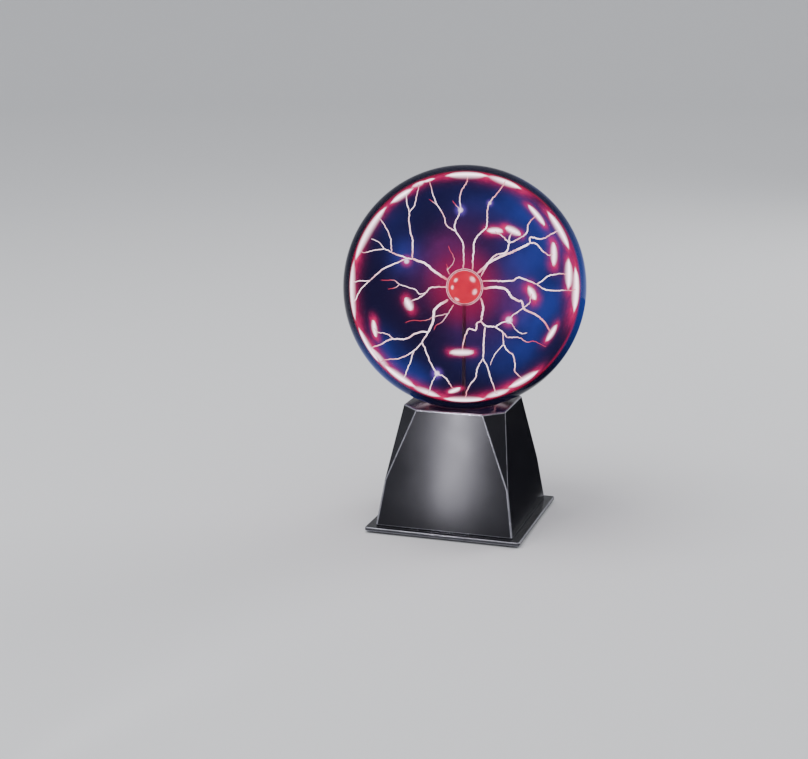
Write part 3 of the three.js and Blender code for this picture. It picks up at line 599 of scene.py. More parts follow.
def makeHousingFinish():
    # Glossy black moulded plastic, with a painted highlight along its rounded edges: a lighter,
    # partly metallic line
    material, tree, shader = makeGrained(
        "housingFinish", (0.010, 0.010, 0.0135), (0.014, 0.014, 0.018), 0.155, 0.185,
        scale=1400.0, bump=0.02, dust=0.03)
    # Painted highlight: the edge attribute, broken up by noise, lightens the colour and turns it
    # partly metallic
    edgeLineBreakup = softStep(tree, noise(tree, objectSpace(tree), 160.0, 5.0), 0.25, 0.6, 0.65, 1.0)
    paintedEdgeHighlight = math2(tree, "MULTIPLY", readValue(tree, "edge"), edgeLineBreakup)
    base = shader.inputs["Base Color"].links[0].from_socket
    feed(tree, shader, {"Base Color": mixColors(tree, paintedEdgeHighlight, base, (0.36, 0.36, 0.40, 1)),
                        "Metallic": softStep(tree, paintedEdgeHighlight, 0, 1, 0.0, 0.8),
                        "Specular IOR Level": 0.15})
    return material


def cornerPlaces(away):
    return [(x * away, y * away) for x, y in ((1, 1), (-1, 1), (-1, -1), (1, -1))]


def keepEdgesOutside(piece):
    # The joined and cut shapes take no edge value, and neither does the recess of the rear panel
    mesh, panel = piece.data, rearPanel
    count = len(mesh.vertices)
    place, edge = np.empty(count * 3, np.float32), np.empty(count, np.float32)
    mesh.vertices.foreach_get("co", place)
    mesh.attributes["edge"].data.foreach_get("value", edge)
    x, y, z = place.reshape(-1, 3).T
    slack = 0.5 * mm
    inPanel = ((np.abs(x) < panel["half"] + slack) & (y > panel["face"] - 4 * mm)
               & (z > panel["low"] - slack) & (z < panel["high"] + slack))
    edge[inPanel] = 0
    mesh.attributes["edge"].data.foreach_set("value", edge)


def makeHousing():
    piece = addPiece("housing", housingMesh(), [makeHousingFinish()],
                     replaces=["base_housing"])
    h, panel, side = housing, rearPanel, housingSide
    back = 60 * mm  # clear of the rear face
    wallIn, reach = panel["face"] - h["wall"], panel["half"] + h["wall"]
    tall = (panel["low"] - h["wall"], panel["high"] + h["wall"])
    surround = [(wallIn, tall[0]), (side(tall[0]) - h["intoWall"], tall[0]),
                (side(tall[1]) - h["intoWall"], tall[1]), (wallIn, tall[1])]
    added, removed = [pushedShape(surround, -reach, reach, 0)], []
    low, high = h["bossLow"], h["bossHigh"]
    for x, y in cornerPlaces(screws["baseAt"]):
        added.append(pushedShape(roundOutline(x, y, h["bossRadius"]), low, high, 2))
        for along, across, axis in ((x, y, 1), (y, x, 0)):
            out = math.copysign(1, along)
            rib = [(along, low), (out * (side(low) - h["intoWall"]), low),
                   (out * (side(high) - h["intoWall"]), high), (along, high)]
            added.append(pushedShape(rib, across - h["ribHalf"], across + h["ribHalf"], axis))
    radius, low, high = h["collarBoss"]
    for x, y in cornerPlaces(screws["collarAt"]):
        added.append(pushedShape(roundOutline(x, y, radius), low, high, 2))
    recess = roundedBox((-panel["half"], panel["low"]), (panel["half"], panel["high"]),
                        h["recessCorner"])
    removed.append(pushedShape(recess, panel["face"], back, 1))
    z, (halfX, halfZ) = panel["controls"], h["slotHalf"]
    slot = roundedBox((panel["switch"] - halfX, z - halfZ), (panel["switch"] + halfX, z + halfZ),
                      0.4 * mm)
    removed.append(pushedShape(slot, 30 * mm, back, 1))
    for x, radius in ((panel["jack"], 4.25 * mm), (panel["microphone"], 0.9 * mm),
                      *((x, 1.2 * mm) for x in panel["switchScrews"])):
        removed.append(pushedShape(roundOutline(x, z, radius), 30 * mm, back, 1))
    for at, (radius, top), bottom in ((screws["baseAt"], h["bossBore"], 5 * mm),
                                      (screws["collarAt"], h["collarBore"], 76 * mm)):
        for x, y in cornerPlaces(at):
            removed.append(pushedShape(roundOutline(x, y, radius, 20), bottom, top, 2))
    shapePiece(piece, added, removed)
    keepEdgesOutside(piece)
    evenNormals(piece)
    print("housing:", len(piece.data.polygons), "faces")
    return piece


# ---------- plinth ----------

plinth = {
    "cornerRadius": 2.0 * mm,
    "edgeRound": 0.5 * mm,
    "top": 4.0 * mm,
    "rib": (43.2 * mm, 44.6 * mm),
    "ribTop": 8.0 * mm,
    "flatStops": (0.01, 0.25, 0.5, 0.75, 0.99),
    "into": 1.0 * mm,  # joined shapes start this deep in the plate
    "post": (5.2 * mm, 3.3 * mm, 5.6 * mm, 1.8 * mm),  # radius, wide bore and its top, slim bore
    "footSeat": (6.3 * mm, 0.8 * mm),  # radius and depth
    "boardPost": (3.0 * mm, 12.1 * mm, 1.1 * mm),  # radius, top and bore
    "vent": (1.2 * mm, 11.0 * mm, 0.9 * mm),  # half-width, half-length and corner
}


def plinthMesh():
    # A rounded square carried from the middle of the underside, round its edge and over the top
    low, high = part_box("base_plate")
    half, bottom, top, r = high[0], low[2], plinth["top"], plinth["edgeRound"]
    corner, stops = plinth["cornerRadius"], np.array(plinth["flatStops"])[:, None]
    bend = np.radians(np.linspace(0, 90, 6))
    turn = half - corner + corner * np.stack([np.cos(bend), np.sin(bend)], 1)
    nextTurn = np.array([-turn[0, 1], turn[0, 0]])
    quarter = np.concatenate([turn, turn[-1] * (1 - stops) + nextTurn * stops])
    quarters = [quarter]
    for _ in range(3):
        quarters.append(np.stack([-quarters[-1][:, 1], quarters[-1][:, 0]], 1))
    outline = np.concatenate(quarters)
    rows = [(scale, 0, bottom, 0) for scale in (0, 0.5, 0.984)]
    for angle in (-90, -60, -30, 0, 0, 30, 60, 90):
        a = math.radians(angle)
        middle = bottom + r if len(rows) < 7 else top - r
        rows.append((1, r * (1 - math.cos(a)), middle + r * math.sin(a), 1 if angle else 0.4))
    rows += [(scale, 0, top, 0) for scale in (0.984, 0.5, 0)]
    rows.insert(7, (1, 0, (bottom + top) / 2, 0))
    away = np.linalg.norm(outline, axis=1, keepdims=True)
    points = np.concatenate([np.insert(outline * (scale * (1 - back / away)), 2, z, axis=1)
                             for scale, back, z, _ in rows])
    edge = np.repeat([row[3] for row in rows], len(outline))
    mesh = makeMesh("plinth", points, gridQuads(len(rows), len(outline)), {"edge": edge})
    closeMesh(mesh, 50)
    return mesh


def squareTube(inner, outer, bottom, top):
    # A square tube, as one closed loop of rows
    corners = np.array([[1, 1], [-1, 1], [-1, -1], [1, -1]])
    rows = [np.insert(corners * half, 2, z, axis=1)
            for half, z in ((outer, bottom), (outer, top), (inner, top), (inner, bottom))]
    mesh = makeMesh("shape", np.concatenate(rows), gridQuads(4, 4, wrapRows=True))
    closeMesh(mesh)
    return bpy.data.objects.new("shape", mesh)


def makePlinth(finish):
    piece = addPiece("plinth", plinthMesh(), [finish], replaces=["base_plate"])
    p, bottom = plinth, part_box("base_plate")[0][2]
    low, through = p["top"] - p["into"], 10 * mm
    added, removed = [squareTube(*p["rib"], low, p["ribTop"])], []
    radius, headBore, headTop, bore = p["post"]
    for x, y in cornerPlaces(screws["baseAt"]):
        added.append(pushedShape(roundOutline(x, y, radius), low, p["ribTop"], 2))
        removed.append(pushedShape(roundOutline(x, y, headBore), 0, headTop, 2))
        removed.append(pushedShape(roundOutline(x, y, bore, 24), 0, through, 2))
    radius, deep = p["footSeat"]
    for x, y in cornerPlaces(screws["footAt"]):
        removed.append(pushedShape(roundOutline(x, y, radius, 48), 0, bottom + deep, 2))
    radius, top, bore = p["boardPost"]
    for x, y in screws["boardAt"]:
        added.append(pushedShape(roundOutline(x, y, radius, 24), low, top, 2))
        removed.append(pushedShape(roundOutline(x, y, bore, 20), 5.5 * mm, 13 * mm, 2))
    slim, long, corner = p["vent"]
    for x in np.arange(-15, 16, 6) * mm:
        slot = roundedBox((x - slim, -long), (x + slim, long), corner)
        removed.append(pushedShape(slot, 0, through, 2))
    shapePiece(piece, added, removed)
    evenNormals(piece)
    print("plinth:", len(piece.data.polygons), "faces")
    return piece


# ---------- globe glass ----------

glass = {
    "wall": 1.5 * mm,
    "neckRadius": 20.0 * mm,
    "columns": 176,
    "rows": 96,
    "bodyTint": (0.004, 0.004, 0.014),
    "limbStart": 0.68,  # how far towards edge-on the wall is where it starts to look dark
    "limbEnd": 0.77,
    "faceOn": 0.06,
    "edgeOn": 1.0,
    # Painted blue glow on the glass: across, up, radius and amount of each soft spot, as seen from
    # the viewing angle
    "paintedBlueGlow": ((0.95, 0.02, 0.070, 1.0), (-0.72, -0.70, 0.050, 1.0), (0.60, 0.80, 0.035, 0.4)),
}


def globeProfile(radius, neck, rows):
    start = -math.degrees(math.acos(neck / radius))
    return arcPoints((0, globeCentre[2]), radius, start, 90, rows)


def makeGlobe():
    # Up the outside from the neck's end, over the pole, and back down the inside
    g = glass
    neckEnd, half = globeLow[2], g["wall"] / 2
    inner = g["neckRadius"] - g["wall"]
    outside = globeProfile(globeRadius, g["neckRadius"], g["rows"])
    inside = globeProfile(globeRadius - g["wall"], inner, g["rows"])[::-1]
    lip = arcPoints((g["neckRadius"] - half, neckEnd + half), half, -180, 0, 9)
    neckHeights = np.linspace(neckEnd + g["wall"], outside[0, 1], 6)[1:-1]
    neckOut = [[g["neckRadius"], z] for z in neckHeights]
    neckIn = [[inner, z] for z in neckHeights[::-1]]
    mesh = turnedMesh("globe", np.concatenate([lip, neckOut, outside, inside, neckIn, lip[:1]]),
                      g["columns"], sharpAngle=None)
    material, tree, shader = newMaterial("globeGlass")
    place = objectSpace(tree)
    right, up, _ = viewAxes()
    # Painted glow on the glass: soft blue spots near its edge, and a faint navy glow everywhere
    # else
    spots = [(globeCentre + (right * across + up * rise) * globeRadius, radius, amount)
             for across, rise, radius, amount in g["paintedBlueGlow"]]
    paintedLightSpots = roundSpots(tree, place, spots, 0, "ADD")
    feed(tree, shader, {
        "Base Color": (*g["bodyTint"], 1),
        "Alpha": softStep(tree, turnedAway(tree), g["limbStart"], g["limbEnd"], g["faceOn"],
                          g["edgeOn"]),
        "Roughness": softStep(tree, noise(tree, place, 24.0, 5.0), 0.35, 0.75, 0.02, 0.07),
        "IOR": 1.5, "Specular IOR Level": 0.004,
        "Emission Color": mixColors(tree, paintedLightSpots, (0.003, 0.003, 0.010, 1), (0.022, 0.055, 0.34, 1)),
        "Emission Strength": 1.0})
    addPiece("globe", mesh, [material], replaces=["globe_glass"])
    print("globe:", len(mesh.polygons), "faces")


# ---------- gas ----------
# Places in the gas are pairs across and up, in radii of the glowing gas from its centre, as seen
# from the viewing angle. Each also lies towards the viewer, or away from it, by a depth.

gas = {
    "radius": 79.0 * mm,
    "columns": 400,
    "rows": 200,
    "nearAlpha": 0.14,
    "navy": (0.0125, 0.0100, 0.040),
    "blue": (0.028, 0.050, 0.32),
    "violet": (0.130, 0.009, 0.075),
    "magenta": (1.1, 0.03, 0.20),
    "white": (5.0, 4.0, 4.5),
    "crimson": (1.0, 0.012, 0.085),
}

# Where a streamer's glow spreads on the wall: two ends, width, and side (1 near, -1 far)
contacts = [
    (-0.14, 0.955, 0.16, 0.955, 0.113, 1), (-0.35, 0.90, -0.27, 0.925, 0.040, -1),
    (0.20, 0.945, 0.45, 0.855, 0.100, -1), (0.72, 0.63, 0.88, 0.36, 0.094, 1),
    (0.76, 0.38, 0.76, 0.20, 0.042, -1), (0.351, 0.512, 0.469, 0.458, 0.036, 1),
    (0.20, 0.485, 0.32, 0.485, 0.030, -1), (0.546, 0.697, 0.674, 0.543, 0.046, 1),
    (0.89, 0.23, 0.89, 0.01, 0.075, 1), (0.950, 0.145, 0.945, -0.175, 0.113, -1),
    (0.787, -0.331, 0.713, -0.449, 0.044, 1), (-0.115, -0.56, 0.075, -0.56, 0.032, 1),
    (0.5525, -0.002, 0.6075, -0.098, 0.036, -1), (0.41, -0.85, 0.62, -0.73, 0.088, 1),
    (-0.14, -0.965, 0.16, -0.965, 0.113, 1), (0.20, -0.945, 0.38, -0.880, 0.088, -1),
    (-0.90, -0.38, -0.75, -0.63, 0.100, 1), (-0.78, -0.295, -0.765, -0.425, 0.036, -1),
    (-0.79, -0.54, -0.63, -0.73, 0.088, -1), (-0.66, -0.70, -0.44, -0.85, 0.100, 1),
    (-0.43, -0.86, -0.22, -0.94, 0.088, -1), (-0.121, -0.909, -0.039, -0.871, 0.034, 1),
    (-0.505, -0.107, -0.455, -0.193, 0.038, 1), (-0.62, 0.73, -0.47, 0.83, 0.088, 1),
    (-0.45, 0.855, -0.36, 0.90, 0.075, -1), (-0.93, 0.26, -0.70, 0.66, 0.113, 1),
    (-0.955, 0.20, -0.945, -0.26, 0.125, -1),
]

# Broad clouds on the wall: across, up, radius and amount
blueClouds = [(0.48, 0.64, 0.26, 0.9), (0.52, 0.20, 0.26, 0.9), (0.75, 0.42, 0.25, 0.6),
              (0.60, -0.22, 0.28, 1.0), (0.84, -0.05, 0.25, 0.6), (0.45, -0.62, 0.28, 0.5),
              (-0.50, 0.27, 0.17, 0.8), (-0.68, -0.55, 0.20, 0.9), (-0.46, -0.76, 0.20, 0.9),
              (-0.55, 0.66, 0.35, 0.25), (0.10, 0.75, 0.30, 0.25), (0.12, -0.50, 0.25, 0.3)]
violetClouds = [(-0.16, 0.27, 0.20, 1.0), (0.42, -0.10, 0.16, 1.0), (0.12, -0.30, 0.24, 0.5),
                (0.0, 0.05, 0.42, 0.35), (0.10, 0.42, 0.30, 0.2), (-0.30, 0.10, 0.25, 0.4)]


def inSpace(across, rise, depth):
    # A place in the gas from where it appears and how deep it lies. Nearer things appear farther
    # out, so they are drawn in a little.
    right, up, towards = viewAxes()
    narrow = 1 - depth * gas["radius"] / studio["viewDistance"]
    return across * narrow * right + rise * narrow * up + depth * towards


def wallDepth(across, rise, side):
    # The depth at which a place meets the wall, on the near side (1) or the far side (-1)
    out = min(math.hypot(across, rise), 0.992)
    depth = side * math.sqrt(1 - out ** 2)
    for _ in range(3):
        drawn = out * (1 - depth * gas["radius"] / studio["viewDistance"])
        depth = side * math.sqrt(max(1 - drawn ** 2, 0))
    return depth


def onWall(across, rise, side):
    place = inSpace(across, rise, wallDepth(across, rise, side))
    return place / np.linalg.norm(place)


def nearSegment(points, start, end):
    # Distance from each point to the line between two points, and how far along it lies (0 to 1)
    line = end - start
    along = np.clip((points - start) @ line / (line @ line), 0, 1)
    return np.linalg.norm(points - start - along[:, None] * line, axis=1), along


def gasCloud(points, clouds):
    total = np.zeros(len(points))
    for across, rise, radius, amount in clouds:
        for side in (1, -1):
            spot = onWall(across, rise, side)
            total += amount * np.exp(-(np.linalg.norm(points - spot, axis=1) / radius) ** 2)
    return np.clip(total, 0, 1)


def contactGlow(unit):
    # How bright the contacts and the glow round them are in each direction from the centre
    core, halo = np.zeros(len(unit)), np.zeros(len(unit))
    for x0, y0, x1, y1, width, side in contacts:
        away, along = nearSegment(unit, onWall(x0, y0, side), onWall(x1, y1, side))
        taper = np.sqrt(1 - 0.93 * (2 * along - 1) ** 2)
        core = np.maximum(core, np.clip(1.1 * (1 - away / (width * taper * 1.35)), 0, 1) ** 1.8)
        halo = np.maximum(halo, np.exp(-(away / (width * 1.15 + 0.016)) ** 2))
    return core, halo


def makeGas():
    # A sphere grid whose points hold how bright each contact, its glow and the clouds are there
    g = gas
    polar = np.linspace(0, math.pi, g["rows"])[:, None]
    around = np.linspace(0, 2 * math.pi, g["columns"], endpoint=False)[None, :]
    unit = np.stack(np.broadcast_arrays(
        np.sin(polar) * np.cos(around), np.sin(polar) * np.sin(around), np.cos(polar)),
        -1).reshape(-1, 3)
    core, halo = contactGlow(unit)
    mesh = makeMesh("gasWall", unit * g["radius"] + globeCentre,
                    gridQuads(g["rows"], g["columns"])[:, ::-1],
                    {"contact": core, "halo": halo, "blueCloud": gasCloud(unit, blueClouds),
                     "violetCloud": gasCloud(unit, violetClouds)})
    closeMesh(mesh)
    material, tree, shader = newMaterial("gasGlow")
    place = objectSpace(tree)
    product = lambda a, b: math2(tree, "MULTIPLY", a, b, clamp=True)
    most = lambda a, b: math2(tree, "MAXIMUM", a, b, clamp=True)
    drift, fine = flicker(tree, place, 34.0, 0.45, 1.3), flicker(tree, place, 260.0, 0.6, 1.2)
    contact, halo = readValue(tree, "contact"), readValue(tree, "halo")
    color = mixColors(tree, product(readValue(tree, "blueCloud"), drift),
                      (*g["navy"], 1), (*g["blue"], 1))
    color = mixColors(tree, product(readValue(tree, "violetCloud"), drift),
                      color, (*g["violet"], 1), "ADD")
    color = mixColors(tree, product(halo, fine), color, (*g["magenta"], 1))
    color = mixColors(tree, contact, color, (*g["white"], 1))
    limb = product(softStep(tree, turnedAway(tree), 0.74, 0.90),
                   math2(tree, "SUBTRACT", 1.0, contact))
    backs = addNode(tree, "ShaderNodeNewGeometry").outputs["Backfacing"]
    cover = most(most(most(product(halo, 0.8), contact), limb), g["nearAlpha"])
    feed(tree, shader, {
        "Emission Color": mixColors(tree, limb, color, (*g["crimson"], 1)),
        "Emission Strength": 1.0, "Base Color": (0.004, 0.004, 0.012, 1), "Roughness": 1.0,
        "Specular IOR Level": 0.0, "Alpha": most(cover, backs)})
    addPiece("gasWall", mesh, [material])
    print("gas wall:", len(mesh.polygons), "faces")


# ---------- streamers ----------

discharge = {
    "sides": 8,
    "stepsPerSpan": 3,
    "reach": 0.085,  # the longest stretch between bends, in radii of the gas
    "wander": 0.034,  # how far a bend strays in depth
    "ripple": 0.0016,
    "thickest": 0.78 * mm,
    "hot": (3.4, 2.7, 3.0),
    "cool": (1.7, 0.05, 0.11),
    "seed": 11,
}

# Each streamer: thickness at its start and end (1 is the thickest), depth at its start and end
# (9 reaches the near wall and -9 the far one), then the places it runs through
streamers = [
    # straight up, then a branch each way
    (0.55, 0.5, 0.03, 0.22, (-0.01, 0.16), (-0.01, 0.27), (-0.02, 0.38), (-0.08, 0.48)),
    (0.5, 0.4, 0.22, 9, (-0.08, 0.48), (-0.09, 0.53), (-0.06, 0.61), (-0.04, 0.66), (-0.05, 0.75),
     (-0.03, 0.83), (0.01, 0.90), (0.02, 0.965)),
    (0.3, 0.15, 0.24, 0.1, (-0.04, 0.66), (-0.08, 0.70), (-0.11, 0.74)),
    (0.45, 0.35, 0.22, -0.15, (-0.08, 0.48), (-0.15, 0.52), (-0.18, 0.60), (-0.21, 0.66),
     (-0.24, 0.70)),
    (0.3, 0.15, -0.15, -0.1, (-0.24, 0.70), (-0.28, 0.73), (-0.31, 0.75)),
    (0.35, 0.3, -0.15, -9, (-0.24, 0.70), (-0.27, 0.77), (-0.29, 0.83), (-0.31, 0.92)),
    # up to the right
    (0.6, 0.4, 0.0, -9, (0.07, 0.15), (0.07, 0.27), (0.08, 0.38), (0.11, 0.44), (0.18, 0.51),
     (0.19, 0.59), (0.19, 0.66), (0.21, 0.72), (0.27, 0.80), (0.32, 0.87), (0.34, 0.915)),
    (1.0, 0.8, 0.05, 0.20, (0.11, 0.12), (0.21, 0.21), (0.32, 0.27), (0.42, 0.31), (0.56, 0.38)),
    (0.6, 0.45, 0.20, 9, (0.56, 0.38), (0.56, 0.43), (0.66, 0.42), (0.78, 0.48), (0.83, 0.50)),
    (0.55, 0.4, 0.20, -9, (0.56, 0.38), (0.60, 0.38), (0.66, 0.32), (0.71, 0.28), (0.76, 0.29)),
    (0.6, 0.55, 0.06, 0.35, (0.14, 0.09), (0.24, 0.26), (0.35, 0.30), (0.38, 0.38)),
    (0.5, 0.4, 0.35, 9, (0.38, 0.38), (0.38, 0.42), (0.41, 0.485)),
    (0.4, 0.3, 0.35, -9, (0.38, 0.38), (0.32, 0.44), (0.27, 0.47), (0.26, 0.48)),
    (0.5, 0.4, 0.35, 9, (0.38, 0.38), (0.45, 0.41), (0.53, 0.47), (0.54, 0.54), (0.59, 0.60),
     (0.61, 0.62)),
    # to the right
    (0.6, 0.55, -0.02, 0.10, (0.15, 0.055), (0.39, 0.055), (0.47, 0.085), (0.62, 0.03)),
    (0.5, 0.4, 0.10, 9, (0.62, 0.03), (0.75, 0.11), (0.89, 0.12)),
    (0.5, 0.4, 0.10, -9, (0.62, 0.03), (0.71, -0.02), (0.92, -0.02), (0.955, -0.01)),
    (1.0, 0.6, 0.04, 9, (0.15, -0.01), (0.30, 0.0), (0.37, -0.03), (0.41, -0.09), (0.49, -0.12),
     (0.52, -0.19), (0.63, -0.24), (0.69, -0.30), (0.75, -0.39)),
    # down to the right
    (0.8, 0.7, 0.04, 0.30, (0.14, -0.09), (0.16, -0.15), (0.16, -0.21), (0.145, -0.29)),
    (0.6, 0.4, 0.30, 9, (0.145, -0.29), (0.11, -0.31), (0.10, -0.37), (0.04, -0.36), (0.01, -0.42),
     (-0.015, -0.54), (-0.02, -0.56)),
    (0.6, 0.55, 0.30, 0.10, (0.145, -0.29), (0.18, -0.33), (0.265, -0.34)),
    (0.5, 0.35, 0.10, -9, (0.265, -0.34), (0.31, -0.31), (0.385, -0.28), (0.415, -0.24),
     (0.50, -0.18), (0.56, -0.13), (0.565, -0.09), (0.58, -0.05)),
    (0.35, 0.25, 0.10, -0.3, (0.385, -0.28), (0.42, -0.33), (0.48, -0.39), (0.54, -0.39)),
    (0.5, 0.5, 0.10, 0.25, (0.265, -0.34), (0.33, -0.38), (0.37, -0.43)),
    (0.45, 0.15, 0.25, 0.30, (0.37, -0.43), (0.47, -0.43), (0.54, -0.47), (0.60, -0.46),
     (0.71, -0.51)),
    (0.45, 0.4, 0.10, -0.20, (0.33, -0.38), (0.34, -0.49)),
    (0.35, 0.2, -0.20, -0.40, (0.34, -0.49), (0.27, -0.57), (0.24, -0.63), (0.23, -0.67)),
    (0.45, 0.4, -0.20, 9, (0.34, -0.49), (0.37, -0.54), (0.42, -0.58), (0.44, -0.66), (0.44, -0.72),
     (0.50, -0.78), (0.53, -0.80)),
    (0.6, 0.55, 0.10, 0.0, (0.18, -0.34), (0.17, -0.48), (0.165, -0.61)),
    (0.45, 0.4, 0.0, 9, (0.165, -0.61), (0.115, -0.70), (0.10, -0.78), (0.04, -0.865),
     (0.01, -0.975)),
    (0.45, 0.4, 0.0, -9, (0.165, -0.61), (0.21, -0.70), (0.235, -0.79), (0.28, -0.91),
     (0.295, -0.92)),
    # down to the left
    (1.0, 0.8, 0.05, 0.15, (-0.14, -0.11), (-0.21, -0.15), (-0.26, -0.21), (-0.27, -0.30),
     (-0.31, -0.39)),
    (0.65, 0.45, 0.15, 9, (-0.31, -0.39), (-0.39, -0.39), (-0.51, -0.45), (-0.61, -0.45),
     (-0.69, -0.48), (-0.80, -0.53), (-0.84, -0.52)),
    (0.35, 0.3, 0.18, -9, (-0.61, -0.45), (-0.66, -0.41), (-0.745, -0.39), (-0.78, -0.36)),
    (0.6, 0.5, 0.15, 0.0, (-0.31, -0.39), (-0.36, -0.48)),
    (0.5, 0.4, 0.0, -9, (-0.36, -0.48), (-0.43, -0.55), (-0.49, -0.59), (-0.57, -0.62),
     (-0.67, -0.63), (-0.72, -0.65)),
    (0.4, 0.35, -0.1, 9, (-0.43, -0.55), (-0.48, -0.69), (-0.52, -0.79), (-0.56, -0.81)),
    (0.5, 0.45, 0.0, -0.2, (-0.36, -0.48), (-0.31, -0.60), (-0.27, -0.69), (-0.23, -0.745)),
    (0.4, 0.35, -0.2, -9, (-0.23, -0.745), (-0.27, -0.82), (-0.30, -0.91), (-0.33, -0.93)),
    (0.4, 0.35, -0.2, 9, (-0.23, -0.745), (-0.16, -0.78), (-0.12, -0.835), (-0.085, -0.88)),
    (0.4, 0.3, 0.02, 0.15, (-0.09, -0.15), (-0.14, -0.23)),
    (0.3, 0.15, 0.15, 0.45, (-0.14, -0.23), (-0.19, -0.24), (-0.27, -0.26), (-0.34, -0.29),
     (-0.45, -0.29), (-0.51, -0.31)),
    (0.3, 0.15, 0.15, -0.1, (-0.14, -0.23), (-0.19, -0.30), (-0.24, -0.33), (-0.26, -0.37)),
    # to the left
    (0.6, 0.5, 0.0, 0.10, (-0.15, 0.0), (-0.25, 0.0), (-0.30, -0.01), (-0.33, -0.05)),
    (0.4, 0.3, 0.10, -0.2, (-0.33, -0.05), (-0.39, -0.06), (-0.43, -0.02), (-0.56, 0.02)),
    (0.3, 0.15, -0.2, -0.3, (-0.56, 0.02), (-0.61, 0.055), (-0.72, 0.055)),
    (0.3, 0.15, -0.2, -0.35, (-0.56, 0.02), (-0.60, -0.01), (-0.66, -0.02)),
    (0.4, 0.35, 0.10, 9, (-0.33, -0.05), (-0.38, -0.09), (-0.47, -0.13), (-0.48, -0.15)),
    # up to the left
    (1.0, 0.8, 0.04, 0.10, (-0.14, 0.06), (-0.24, 0.115), (-0.34, 0.20), (-0.45, 0.24)),
    (0.55, 0.45, 0.10, 0.0, (-0.45, 0.24), (-0.45, 0.39), (-0.48, 0.54), (-0.48, 0.64)),
    (0.4, 0.35, 0.0, 9, (-0.48, 0.64), (-0.50, 0.72), (-0.51, 0.81), (-0.54, 0.80)),
    (0.4, 0.35, 0.0, -9, (-0.48, 0.64), (-0.44, 0.69), (-0.42, 0.77), (-0.40, 0.86), (-0.41, 0.88)),
    (0.6, 0.5, 0.10, 0.2, (-0.45, 0.24), (-0.51, 0.25), (-0.63, 0.295)),
    (0.4, 0.3, 0.2, 9, (-0.63, 0.295), (-0.64, 0.41), (-0.68, 0.51), (-0.74, 0.59), (-0.77, 0.60)),
    (0.4, 0.35, 0.2, 0.25, (-0.63, 0.295), (-0.69, 0.325)),
    (0.35, 0.2, 0.25, 0.30, (-0.69, 0.325), (-0.74, 0.38), (-0.805, 0.41)),
    (0.35, 0.3, 0.25, 9, (-0.69, 0.325), (-0.79, 0.31), (-0.87, 0.29), (-0.90, 0.32)),
    (0.55, 0.5, 0.10, -0.15, (-0.51, 0.24), (-0.70, 0.15), (-0.81, 0.055)),
    (0.4, 0.35, -0.15, -9, (-0.81, 0.055), (-0.95, 0.04), (-0.97, 0.05)),
    (0.4, 0.35, -0.15, -9, (-0.81, 0.055), (-0.895, -0.03), (-0.95, -0.13), (-0.96, -0.14)),
    (0.3, 0.25, 0.03, 0.1, (-0.13, 0.11), (-0.15, 0.145)),
    (0.25, 0.12, 0.1, 0.3, (-0.15, 0.145), (-0.16, 0.20)),
    (0.25, 0.12, 0.1, 0.35, (-0.15, 0.145), (-0.09, 0.23), (-0.13, 0.32), (-0.14, 0.355)),
]


def smoothThrough(points, steps):
    # A Catmull-Rom curve through the points, with the same number of steps in every span
    ends = np.concatenate([[2 * points[0] - points[1]], points, [2 * points[-1] - points[-2]]])
    t = np.linspace(0, 1, steps, endpoint=False)[None, :, None]
    a, b, c, d = (ends[k:len(ends) - 3 + k, None] for k in range(4))
    curve = 0.5 * (2 * b + (c - a) * t + (2 * a - 5 * b + 4 * c - d) * t ** 2
                   + (3 * b - a - 3 * c + d) * t ** 3)
    return np.concatenate([curve.reshape(-1, points.shape[1]), points[-1:]])


